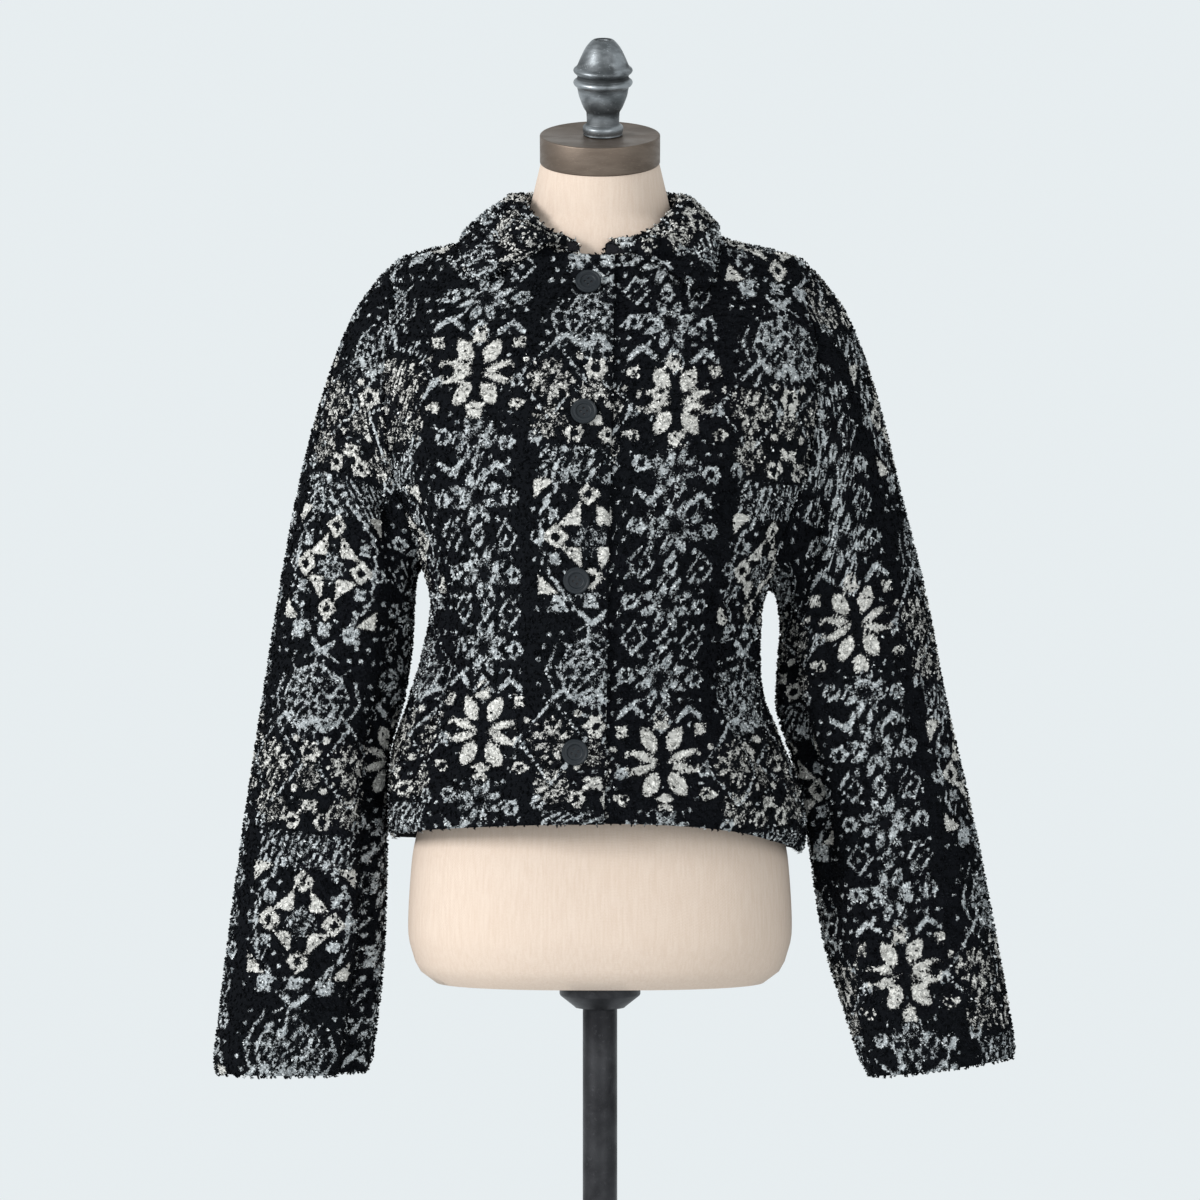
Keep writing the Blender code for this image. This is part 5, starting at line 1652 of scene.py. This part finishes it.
def weave_group() -> NodeGroup:
    """Plain weave on flat or round cloth, with slubs along its threads."""
    nodes = NodeGroup("plain weave", {"Place": None, "Threads": 900.0}, ("Height", "Slub"))
    place = nodes.take["Place"]
    apart = nodes.add("ShaderNodeSeparateXYZ", {0: place}).outputs
    waves = []
    for pair in (("X", "Z"), ("Y", "Z")):
        turns = [nodes.sum("MULTIPLY", apart[axis], nodes.take["Threads"]) for axis in pair]
        waves.append(nodes.sum("MULTIPLY", *(nodes.sum("SINE", turn) for turn in turns)))
    stretch = nodes.vector("MULTIPLY", {0: place, 1: (1.0, 1.0, 0.09)})
    streaks = nodes.noise(stretch, 500.0, 3.0)
    slub = nodes.sum("MULTIPLY_ADD", nodes.noise(place, 900.0, 2.0), 0.6, streaks)
    slub = nodes.sum("MULTIPLY", slub, 0.62)
    height = nodes.sum("MULTIPLY_ADD", nodes.sum("ADD", *waves), 0.25, slub)
    nodes.give(Height=height, Slub=slub)
    return nodes


def wear_group() -> NodeGroup:
    """Cast, brushed or painted metal: small dents, broad clouds and fine scratches."""
    inputs = {"Place": None, "Grain": 300.0, "Brush": 1.0}
    nodes = NodeGroup("metal wear", inputs, ("Height", "Cloud", "Scratch"))
    stretch = nodes.add("ShaderNodeCombineXYZ", {"X": 1.0, "Y": 1.0, "Z": nodes.take["Brush"]})
    long = nodes.vector("MULTIPLY", {0: nodes.take["Place"], 1: stretch.outputs[0]})
    grain = {"Vector": long, "Detail": 4.0, "Scale": nodes.take["Grain"]}
    nodes.give(
        Height=nodes.add("ShaderNodeTexNoise", grain).outputs["Fac"],
        Cloud=nodes.ramp(nodes.noise(long, 40.0, 5.0, 0.4), 0.30, 0.72),
        Scratch=nodes.ramp(nodes.noise(long, 300.0, 3.0, 1.0), 0.58, 0.72),
    )
    return nodes


# Finishes


class Finish(Nodes):
    """A material in the making, with its shader and the object's coordinates."""

    def __init__(self, name: str) -> None:
        """Make the material.

        Args:
            name: its name.
        """
        self.material = bpy.data.materials.new(name)
        self.material.use_nodes = True
        super().__init__(self.material.node_tree)
        self.shader = self.tree.nodes["Principled BSDF"]
        self.place = self.add("ShaderNodeTexCoord").outputs["Object"]

    def attribute(self, name: str) -> Socket:
        """A number that is stored on the piece."""
        return self.add("ShaderNodeAttribute", attribute_name=name).outputs["Fac"]

    def done(self, height: Socket, distance: float, strength: float, values: dict) -> Material:
        """Feed the shader.

        Args:
            height: height of the surface's marks.
            distance, strength: how deep and how strong the marks are.
            values: the shader's other inputs, a value or a socket each.

        Returns:
            The material.
        """
        marks = {"Height": height, "Distance": distance, "Strength": strength}
        self.fill(self.shader, {"Normal": self.add("ShaderNodeBump", marks).outputs[0], **values})
        return self.material


@dataclass(frozen=True)
class Fleece:
    """Black curly fleece with the pale print; its backing inside is plain.

    A pair of colours is for the fibre's dark and light tone, which varies at random. Edges give
    how soft the print's edge is in each ink, and ragged how far noise moves that edge. Deep is the
    colour of the painted shade between the locks and at their roots.
    """

    locks: float = 300.0
    edges: tuple[tuple[Ink, float], ...] = ((Ink.BLUE, 0.00045), (Ink.CREAM, 0.00035))
    ragged: tuple[float, float] = (0.0048, -0.0027)
    ground: Pair = ((0.0010, 0.0013, 0.0018, 1), (0.0072, 0.0084, 0.0108, 1))
    blue: Pair = ((0.15, 0.178, 0.195, 1), (0.88, 0.92, 0.93, 1))
    cream: Pair = ((0.40, 0.395, 0.37, 1), (0.95, 0.94, 0.89, 1))
    backing: Pair = ((0.008, 0.008, 0.010, 1), (0.016, 0.016, 0.018, 1))
    # colour of the painted shade between the locks, at their roots and on the cloth under them
    deep: Colour = (0.0018, 0.0021, 0.0028, 1)

    def make(self, pile: NodeGroup) -> Material:
        """Build the material.

        Args:
            pile: the curly pile's nodes.

        Returns:
            The material.
        """
        made = Finish("fleece")
        curls = made.group(pile, {"Place": made.place, "Locks": self.locks}).outputs
        shift = made.sum("MULTIPLY_ADD", made.noise(made.place, 520.0, 3.0, 1.0), *self.ragged)
        masks = []
        for ink, reach in self.edges:
            inside = made.sum("ADD", made.attribute(f"{ink.value}_ink"), shift)
            masks.append(made.ramp(inside, -reach, reach))
        side, tone = made.attribute("pile_shade_and_backing"), made.attribute("tone")
        fine = made.sum("MULTIPLY_ADD", made.noise(made.place, 800.0, 2.0), 0.5, tone)
        fine = made.ramp(fine, 0.20, 1.20)
        colour = made.blend(fine, *self.ground)
        for mask, ink in zip(masks, (self.blue, self.cream)):
            colour = made.blend(mask, colour, made.blend(fine, *ink))
        # Painted shade: the colour is darkened toward deep between the locks, at their roots and
        # on the cloth's face.
        shade = made.sum("MULTIPLY_ADD", curls["Shade"], 0.4, 0.6)
        shade = made.sum("MULTIPLY", shade, made.ramp(side, 0.05, 0.95))
        colour = made.blend(shade, self.deep, colour)
        backing = made.blend(fine, *self.backing)
        colour = made.blend(made.ramp(side, 0.0, 0.2), backing, colour)
        values = {"Base Color": colour, "Roughness": 0.95, "Specular IOR Level": 0.05}
        return made.done(curls["Height"], 0.0011, 0.8, values)


@dataclass(frozen=True)
class Linen:
    """Cream linen stretched over the form."""

    threads: float = 5200.0
    yarn: Pair = ((0.470, 0.375, 0.307, 1), (0.520, 0.432, 0.363, 1))
    cloudy: Colour = (0.49, 0.39, 0.31, 1)

    def make(self, weave: NodeGroup) -> Material:
        """Build the material.

        Args:
            weave: the plain weave's nodes.

        Returns:
            The material.
        """
        made = Finish("linen")
        cloth = made.group(weave, {"Place": made.place, "Threads": self.threads}).outputs
        cloud = made.sum("MULTIPLY", made.noise(made.place, 14.0, 3.0), 0.35)
        colour = made.blend(made.ramp(cloth["Slub"], 0.30, 0.70), *self.yarn)
        colour = made.blend(cloud, colour, self.cloudy)
        values = {"Base Color": colour, "Roughness": 0.85, "Specular IOR Level": 0.25}
        return made.done(cloth["Height"], 0.0003, 0.5, values)


@dataclass(frozen=True)
class Metal:
    """A worn metal between two colours, with painted shade in its grooves.

    Brush is how much finer its marks are up and down than across, and worn how much lighter
    its scratches are. The painted shade in its grooves is the low colour times the last share.
    """

    name: str
    low: tuple[float, float, float]
    high: tuple[float, float, float]
    roughness: float
    brush: float
    grain: float = 420.0
    worn: float = 1.6
    # painted shade in the grooves: the low colour is darkened to this share
    groove_shade: float = 0.22

    def make(self, wear: NodeGroup) -> Material:
        """Build the material.

        Args:
            wear: the metal's nodes.

        Returns:
            The material.
        """
        made = Finish(self.name)
        grains = {"Place": made.place, "Grain": self.grain, "Brush": self.brush}
        marks = made.group(wear, grains).outputs
        colour = made.blend(marks["Cloud"], (*self.low, 1), (*self.high, 1))
        worn = (*(min(1.0, value * self.worn) for value in self.high), 1)
        colour = made.blend(made.sum("MULTIPLY", marks["Scratch"], 0.35), colour, worn)
        # Painted shade: the colour darkens toward a dim copy of the low colour in the grooves.
        hollow = made.attribute("hollow")
        groove_shade = (*(value * self.groove_shade for value in self.low), 1)
        colour = made.blend(made.sum("MULTIPLY", hollow, 0.85), colour, groove_shade)
        rough = made.sum("MULTIPLY_ADD", marks["Cloud"], -0.12, self.roughness + 0.06)
        rough = made.sum("MULTIPLY_ADD", hollow, 0.3, rough)
        values = {"Base Color": colour, "Roughness": rough, "Metallic": 0.85}
        return made.done(marks["Height"], 0.0003, 0.35, values)


@dataclass(frozen=True)
class Plastic:
    """Charcoal button plastic with faint streaks."""

    colours: Pair = ((0.004, 0.006, 0.008, 1), (0.011, 0.0145, 0.018, 1))

    def make(self) -> Material:
        """The material."""
        made = Finish("button_plastic")
        streak = made.noise(made.place, 240.0, 3.0, 2.0)
        rough = made.sum("MULTIPLY_ADD", streak, 0.2, 0.40)
        colour = made.blend(streak, *self.colours)
        values = {"Base Color": colour, "Roughness": rough, "Specular IOR Level": 0.22}
        return made.done(streak, 0.0001, 0.3, values)


@dataclass(frozen=True)
class Thread:
    """Twisted black sewing thread."""

    colours: Pair = ((0.006, 0.006, 0.008, 1), (0.03, 0.03, 0.034, 1))

    def make(self) -> Material:
        """The material."""
        made = Finish("thread")
        twist = made.noise(made.place, 1800.0, 2.0, 0.5)
        values = {"Base Color": made.blend(twist, *self.colours), "Roughness": 0.7}
        return made.done(twist, 0.0002, 1.0, values)


class Finishes:
    """The materials of every piece."""

    def __init__(self) -> None:
        """Build the shared groups, then each finish."""
        pile, weave, wear = pile_group(), weave_group(), wear_group()
        bronze = Metal("bronze", (0.122, 0.094, 0.074), (0.152, 0.119, 0.095), 0.50, 5.0)
        zinc = Metal("zinc", (0.064, 0.070, 0.074), (0.275, 0.295, 0.310), 0.44, 2.0)
        iron = Metal("iron", (0.016, 0.016, 0.018), (0.040, 0.040, 0.043), 0.42, 1.0)
        self.fleece, self.linen = Fleece().make(pile), Linen().make(weave)
        self.bronze, self.zinc, self.iron = (made.make(wear) for made in (bronze, zinc, iron))
        self.plastic, self.thread = Plastic().make(), Thread().make()


def dress(piece: Piece, material: Material, slot: str, *nodes: str) -> None:
    """Give a piece its finish, let it ride on the body and stand for its nodes.

    Args:
        piece: the piece.
        material: its finish.
        slot: not used.
        nodes: the frame's nodes that it replaces, if any.
    """
    piece.data.materials.clear()
    piece.data.materials.append(material)
    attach(piece, BODY)
    if nodes:
        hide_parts(*nodes)
    log.info("%s: %d faces", piece.name, len(piece.data.polygons))


# Rigid pieces


def start_fresh() -> None:
    """Leave edit mode and deselect everything, so that operators act on the new piece alone."""
    if bpy.context.object and bpy.context.object.mode == "EDIT":
        bpy.ops.object.mode_set(mode="OBJECT")
    bpy.ops.object.select_all(action="DESELECT")


def choose(*pieces: Piece) -> None:
    """Select these pieces alone.

    Args:
        pieces: the pieces, of which the first is made active.
    """
    bpy.ops.object.select_all(action="DESELECT")
    for piece in pieces:
        piece.select_set(True)
    bpy.context.view_layer.objects.active = pieces[0]


def settle(piece: Piece, name: str) -> Piece:
    """Name a piece, move its place into its mesh and shade it smooth up to sharp edges.

    Args:
        piece: the piece, made and placed.
        name: its name.

    Returns:
        The same piece.
    """
    piece.name = piece.data.name = name
    choose(piece)
    bpy.ops.object.transform_apply(location=True, rotation=True, scale=True)
    bpy.ops.object.shade_smooth_by_angle(angle=math.radians(38))
    return piece


def spun(profile: Array, turns: int) -> Piece:
    """Spin a piece about its own axis from a profile of radius and height.

    Args:
        profile: points from the axis at the top to the axis at the bottom, in metres.
        turns: how many steps the spin has.

    Returns:
        The piece, closed and with its faces outwards, with its grooves stored on it.
    """
    start_fresh()
    bpy.ops.mesh.primitive_plane_add(size=0.001, location=(0, 0, 0))
    piece = bpy.context.object
    bpy.ops.object.mode_set(mode="EDIT")
    bpy.ops.mesh.select_mode(type="VERT")
    bpy.ops.mesh.select_all(action="SELECT")
    bpy.ops.mesh.merge(type="CENTER")
    bpy.ops.mesh.select_all(action="SELECT")
    bpy.ops.transform.translate(value=(profile[0][0], 0, profile[0][1]))
    for before, after in zip(profile, profile[1:]):
        step = (after[0] - before[0], 0, after[1] - before[1])
        bpy.ops.mesh.extrude_region_move(TRANSFORM_OT_translate={"value": step})
    bpy.ops.mesh.select_all(action="SELECT")
    bpy.ops.mesh.spin(steps=turns, angle=2 * math.pi, center=(0, 0, 0), axis=(0, 0, 1))
    bpy.ops.mesh.select_all(action="SELECT")
    bpy.ops.mesh.remove_doubles(threshold=0.00002)
    bpy.ops.mesh.normals_make_consistent(inside=False)
    bpy.ops.object.mode_set(mode="OBJECT")
    # How sunken each point lies against its neighbours in the profile; the metal paints shade
    # there.
    heights = np.array([vertex.co.z for vertex in piece.data.vertices])
    order = np.argsort(profile[:, 1])
    level, radius = profile[order, 1], profile[order, 0]
    near = [np.interp(heights + shift, level, radius) for shift in (-0.004, 0.0, 0.004)]
    store(piece, "hollow", np.clip(((near[0] + near[2]) / 2 - near[1]) / 0.0022, 0, 1))
    return piece


def smooth_profile(profile: Array, times: int) -> Array:
    """A profile with more points, on a smooth curve through the given ones."""
    points = refine(profile[:, None], times, (), 0)[:, 0]
    points[:, 0] = np.maximum(points[:, 0], 0.0)
    return points


def tilted(place: Array, tilt: float) -> Matrix:
    """Place of a piece whose axis leans with the neck."""
    return Matrix.Translation(Vector(place)) @ Matrix.Rotation(tilt, 4, "X")


@dataclass
class DressForm:
    """The padded linen torso, the cap on its neck and the turned finial.

    Here and below, a profile is the radius and the height of its points, in millimetres.
    """

    finishes: Finishes
    shape: FormShape = field(default_factory=FormShape)
    touch: float = 0.0001
    cap_radius: float = 0.0503
    cap_height: float = 0.0240
    cap_rim: float = 0.0022
    cap_edge: float = 0.0011
    finial_aside: float = 0.0025
    edge_round: float = 0.012
    round_from: float = 0.822
    rings: int = 118
    neck_rings: int = 9
    turns: int = 120
    finial_profile: Profile = (
        (0, 75.2), (4, 75.2), (5, 78.8), (6.8, 79.7), (9.4, 79), (14.5, 73), (18.8, 64.5),
        (21.6, 58), (23.8, 56), (24.7, 54.2), (23.8, 52.4), (21.9, 50.8), (21.3, 49.3), (22, 47.2),
        (24, 45.8), (24.7, 44), (23.8, 42), (21.9, 40.4), (21.2, 38.5), (20, 32.5), (16.5, 23.5),
        (14.3, 19.8), (13.8, 17.2), (13.6, 10), (15, 8.4), (16.7, 6.8), (16.9, 4), (16.2, 1.6),
        (15, 0), (0, 0),
    )

    def rise(self) -> Array:
        """The way that the neck leans up."""
        tilt = self.shape.neck_tilt
        return np.array((0, -math.sin(tilt), math.cos(tilt)))

    def torso(self) -> Piece:
        """The padded torso with its neck, drawn over the form's sections."""
        start_fresh()
        bpy.ops.mesh.primitive_cylinder_add(
            vertices=self.turns, radius=0.15, depth=1.0, end_fill_type="NGON"
        )
        piece = bpy.context.object
        bpy.ops.object.mode_set(mode="EDIT")
        bpy.ops.mesh.select_mode(type="EDGE")
        bpy.ops.mesh.select_all(action="DESELECT")
        bpy.ops.object.mode_set(mode="OBJECT")
        for edge in piece.data.edges:
            first, last = (piece.data.vertices[i].co.z for i in edge.vertices)
            edge.select = abs(first - last) > 0.5
        bpy.ops.object.mode_set(mode="EDIT")
        bpy.ops.mesh.subdivide(number_cuts=self.rings - 1)
        bpy.ops.object.mode_set(mode="OBJECT")
        count = len(piece.data.vertices)
        places = np.empty(count * 3)
        piece.data.vertices.foreach_get("co", places)
        places = places.reshape(-1, 3)
        angle = np.degrees(np.arctan2(-places[:, 1], places[:, 0]))
        share = np.round((places[:, 2] + 0.5) * self.rings)
        body_rings = self.rings - self.neck_rings
        body_share = np.clip(share / body_rings, 0, 1) ** 0.9
        z = mix(self.shape.bottom, self.shape.last_ring, body_share)
        skin = self.shape.point(angle, z)
        low = (self.round_from - z) / (self.round_from - self.shape.bottom)
        low = np.clip(low, 0, 1)
        inset = self.edge_round * (1 - np.sqrt(1 - low**2))
        skin[:, :2] -= unit(skin[:, :2]) * inset[:, None]
        up = np.clip((share - body_rings) / self.neck_rings, 0, 1)[:, None]
        turn, tilt = np.radians(angle), self.shape.neck_tilt
        spoke = np.stack([np.cos(turn), -np.sin(turn), 0 * turn], -1) * self.shape.neck_radius
        top = self.shape.neck_top + spoke @ np.array(Matrix.Rotation(tilt, 3, "X")).T
        skin = mix(skin, top, up)
        piece.data.vertices.foreach_set("co", skin.ravel())
        piece.data.update()
        return settle(piece, "linen_torso")

    def cap(self) -> Piece:
        """The round cap, with a rolled rim round its slightly sunken top."""
        start_fresh()
        bpy.ops.mesh.primitive_cylinder_add(
            vertices=96, radius=self.cap_radius, depth=self.cap_height, end_fill_type="NGON"
        )
        piece = bpy.context.object
        bpy.ops.object.mode_set(mode="EDIT")
        bpy.ops.mesh.select_all(action="DESELECT")
        bpy.ops.object.mode_set(mode="OBJECT")
        for face in piece.data.polygons:
            face.select = face.normal.z > 0.9
        bpy.ops.object.mode_set(mode="EDIT")
        bpy.ops.mesh.select_mode(type="FACE")
        bpy.ops.mesh.inset(thickness=self.cap_rim)
        bpy.ops.mesh.inset(thickness=0.0012, depth=-0.0005)
        bpy.ops.object.mode_set(mode="OBJECT")
        bevel = piece.modifiers.new("rim", "BEVEL")
        bevel.width, bevel.segments, bevel.limit_method = self.cap_edge, 3, "ANGLE"
        bevel.angle_limit = math.radians(40)
        bpy.ops.object.modifier_apply(modifier=bevel.name)
        middle = self.shape.neck_top + self.rise() * (self.touch + self.cap_height / 2)
        piece.matrix_world = tilted(middle, self.shape.neck_tilt)
        return settle(piece, "neck_cap_plate")

    def finial(self) -> Piece:
        """The turned metal finial on the cap."""
        piece = spun(smooth_profile(np.array(self.finial_profile) / 1000, 3), 72)
        foot = self.shape.neck_top + self.rise() * (2 * self.touch + self.cap_height)
        piece.matrix_world = tilted(foot + (self.finial_aside, 0, 0), self.shape.neck_tilt)
        return settle(piece, "finial_turning")

    def build(self) -> None:
        """Make the form's pieces and let each stand for its node."""
        dress(self.torso(), self.finishes.linen, "linen", "form_torso")
        dress(self.cap(), self.finishes.bronze, "bronze", "form_neck_cap")
        dress(self.finial(), self.finishes.zinc, "zinc", "form_finial")


@dataclass
class Stand:
    """The socket under the torso, the pole and the round foot."""

    finishes: Finishes
    socket_profile: Profile = (
        (0, 799.9), (32.5, 799.9), (33.8, 799.2), (34, 797.5), (34, 789.5), (33.2, 788),
        (21.8, 779), (20.8, 778), (0, 777.9),
    )
    pole_profile: Profile = (
        (0, 777.8), (13.8, 777.8), (14.5, 777.1), (14.5, 550), (14.5, 300), (14.5, 55.8),
        (13.8, 55.1), (0, 55.1),
    )
    foot_profile: Profile = (
        (0, 55), (23, 55), (26.2, 54.5), (29.2, 52.5), (30, 49.5), (31.8, 37), (34.5, 24),
        (42, 18), (57, 15), (120, 13.4), (208, 12), (212.8, 10.6), (215, 7), (215, 2.2),
        (214.2, 0.6), (213, 0), (0, 0),
    )

    def build(self) -> None:
        """Spin the stand's three pieces and let each stand for its node."""
        for name, node, profile in (
            ("socket_cup", "stand_socket", self.socket_profile),
            ("pole_tube", "stand_pole", self.pole_profile),
            ("foot_plate", "stand_foot", self.foot_profile),
        ):
            piece = settle(spun(np.array(profile) / 1000, 96), name)
            dress(piece, self.finishes.iron, "iron", node)


@dataclass
class Buttons:
    """Four-hole buttons with a raised rim, each on a thread shank."""

    finishes: Finishes
    hole_radius: float = 0.0011
    hole_spread: float = 0.0027
    thread_radius: float = 0.0040
    thread_height: float = 0.0014
    rim_width: float = 0.0008
    profile: Profile = (
        (0, 1.7), (5, 1.7), (5.7, 1.8), (6.2, 2.2), (6.6, 2.9), (7.2, 3), (8.4, 2.7), (9.2, 3.1),
        (10, 3.2), (10.6, 2.7), (10.8, 2.1), (10.7, 1.3), (10.2, 0.5), (9, 0), (0, 0),
    )

    def places(self, frame: dict) -> list[tuple[Vector, Vector]]:
        """Each button's foot point and outward axis, read from its node.

        Args:
            frame: the loaded frame.

        Returns:
            A foot point and an axis for each button.
        """
        found = []
        for number in range(1, 5):
            mesh = frame["nodes"][f"button_{number}"].data
            places = [tuple(round(value, 5) for value in vertex.co) for vertex in mesh.vertices]
            points = np.array(sorted(set(places)))
            _, _, axes = np.linalg.svd(points - points.mean(0))
            axis = axes[2] * (-1.0 if axes[2][1] > 0 else 1.0)
            away = points - points.mean(0)
            away = np.linalg.norm(away - np.outer(away @ axis, axis), axis=1)
            rim = points[away > away.max() - self.rim_width]
            reach = (points - rim.mean(0)) @ axis
            found.append((Vector(rim.mean(0) + axis * reach.min()), Vector(axis)))
        return found

    def pattern(self) -> Piece:
        """One button at the origin, with its holes cut.

        Returns:
            The button, which the four are copied from.
        """
        button = spun(np.array(self.profile) / 1000, 56)
        start_fresh()
        cutters = []
        for corner in range(4):
            turn = math.pi / 2 * corner
            spot = (math.cos(turn) * self.hole_spread, math.sin(turn) * self.hole_spread, 0)
            bpy.ops.mesh.primitive_cylinder_add(
                vertices=16, radius=self.hole_radius, depth=0.012, location=spot
            )
            cutters.append(bpy.context.object)
        choose(*cutters)
        bpy.ops.object.join()
        cutter = bpy.context.object
        cut = button.modifiers.new("holes", "BOOLEAN")
        cut.operation, cut.object = "DIFFERENCE", cutter
        choose(button)
        bpy.ops.object.modifier_apply(modifier=cut.name)
        bpy.data.objects.remove(cutter)
        return button

    def shank(self) -> Piece:
        """The pad of thread between a button and the cloth."""
        start_fresh()
        bpy.ops.mesh.primitive_cylinder_add(
            vertices=24,
            radius=self.thread_radius,
            depth=self.thread_height,
            location=(0, 0, 0.0001 - self.thread_height / 2),
        )
        piece = bpy.context.object
        bpy.ops.object.mode_set(mode="EDIT")
        bpy.ops.mesh.select_all(action="SELECT")
        bpy.ops.mesh.bevel(offset=0.0003, segments=2)
        bpy.ops.object.mode_set(mode="OBJECT")
        return piece

    def build(self, places: list[tuple[Vector, Vector]]) -> None:
        """Copy the button and its shank to each place.

        Args:
            places: a foot point and an axis for each button.
        """
        patterns = (self.pattern(), self.shank())
        for number, (foot, axis) in enumerate(places, 1):
            turn = axis.to_track_quat("Z", "Y").to_matrix().to_4x4()
            twist = Matrix.Rotation(math.radians(7 * number - 12), 4, "Z")
            for pattern, name, finish, slot, nodes in (
                (patterns[0], "button_disc", "plastic", "button_plastic", (f"button_{number}",)),
                (patterns[1], "button_thread", "thread", "button_plastic", ()),
            ):
                piece = bpy.data.objects.new(name, pattern.data.copy())
                bpy.context.scene.collection.objects.link(piece)
                piece.matrix_world = Matrix.Translation(foot) @ turn @ twist
                piece = settle(piece, f"{name}_{number}")
                dress(piece, getattr(self.finishes, finish), slot, *nodes)
        for pattern in patterns:
            bpy.data.objects.remove(pattern)


@dataclass
class Cardigan:
    """The coat: two fronts, a back, two sleeves and a collar, each with its pile."""

    finishes: Finishes
    curl: Curl = field(default_factory=Curl)
    body_print: dict[str, tuple[float, float]] = field(
        default_factory=lambda: {
            "front_right": (-0.008, 1.061),
            "front_left": (0.152, 1.041),
            "back": (0.0, 1.061),
        }
    )
    sleeve_print: dict[Side, tuple[float, float]] = field(
        default_factory=lambda: {Side.RIGHT: (0.082, 0.028), Side.LEFT: (-0.006, 0.135)}
    )
    collar_print: tuple[float, float] = (0.0, 0.05)
    pressed: float = 0.0118

    def build(self, buttons: list[Vector]) -> None:
        """Make every cloth piece and its pile.

        Args:
            buttons: middles of the buttons' undersides.
        """
        grids = CoatGrids()
        made = [grids.body(name, *place) for name, place in self.body_print.items()]
        made += [grids.sleeve(side, *place) for side, place in self.sleeve_print.items()]
        made.append(grids.collar(*self.collar_print))
        for number, grid in enumerate(made):
            pressing = buttons if grid.name == "front_right" else []
            piece = cloth_piece(grid, pile_height(grid, pressing, self.pressed))
            dress(piece, self.finishes.fleece, "fleece", grid.name)
            locks = []
            locks = [lock_piece(grid, self.curl, number, pressing, self.pressed)]
            dress(locks[0], self.finishes.fleece, "fleece")


def studio() -> None:
    """A pale floor, soft lights and the camera at the photograph's place."""
    floor_radius, floor_colour, floor_roughness = 3.2, (0.78, 0.80, 0.81, 1), 0.9
    sky_colour, sky_strength = (0.80, 0.85, 0.87, 1), 1.0
    lights = (  # name, place, size in metres and power in watts
        ("key", (-2.7, -2.1, 2.2), 1.1, 132.0),
        ("fill", (1.3, -3.0, 1.7), 1.4, 32.0),
    )
    lights_aim = Vector((0, 0, 1.15))
    lens, sensor, camera_place = 114.286, 36.0, (0.0, -3.2, 1.12)

    bpy.ops.mesh.primitive_circle_add(vertices=96, radius=floor_radius, fill_type="NGON")
    floor = bpy.context.object
    floor.name = "floor"
    made = Finish("floor")
    made.fill(made.shader, {"Base Color": floor_colour, "Roughness": floor_roughness})
    floor.data.materials.append(made.material)
    world = bpy.data.worlds.new("studio")
    bpy.context.scene.world = world
    world.use_nodes = True
    background = world.node_tree.nodes["Background"].inputs
    background[0].default_value, background[1].default_value = sky_colour, sky_strength
    bpy.context.scene.view_settings.view_transform = "Standard"

    def placed(name: str, data: bpy.types.ID, place: tuple[float, ...]) -> Piece:
        """A light or the camera, set in the scene at its place."""
        item = bpy.data.objects.new(name, data)
        bpy.context.scene.collection.objects.link(item)
        item.location = place
        return item

    for name, place, size, power in lights:
        lamp = bpy.data.lights.new(name, "AREA")
        lamp.energy, lamp.size = power, size
        aim = (lights_aim - Vector(place)).to_track_quat("-Z", "Y")
        placed(name, lamp, place).rotation_euler = aim.to_euler()
    camera = bpy.data.cameras.new("camera")
    camera.lens, camera.sensor_width = lens, sensor
    item = placed("camera", camera, camera_place)
    item.rotation_euler = (math.pi / 2, 0, 0)
    bpy.context.scene.camera = item


def main() -> None:
    """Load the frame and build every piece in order."""
    logging.basicConfig(level=logging.INFO, format="%(name)s %(message)s")
    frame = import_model()
    bpy.ops.object.select_all(action="DESELECT")
    finishes = Finishes()
    buttons = Buttons(finishes)
    places = buttons.places(frame)
    Cardigan(finishes).build([foot for foot, _ in places])
    DressForm(finishes).build()
    Stand(finishes).build()
    buttons.build(places)
    studio()


if __name__ == "__main__":
    main()
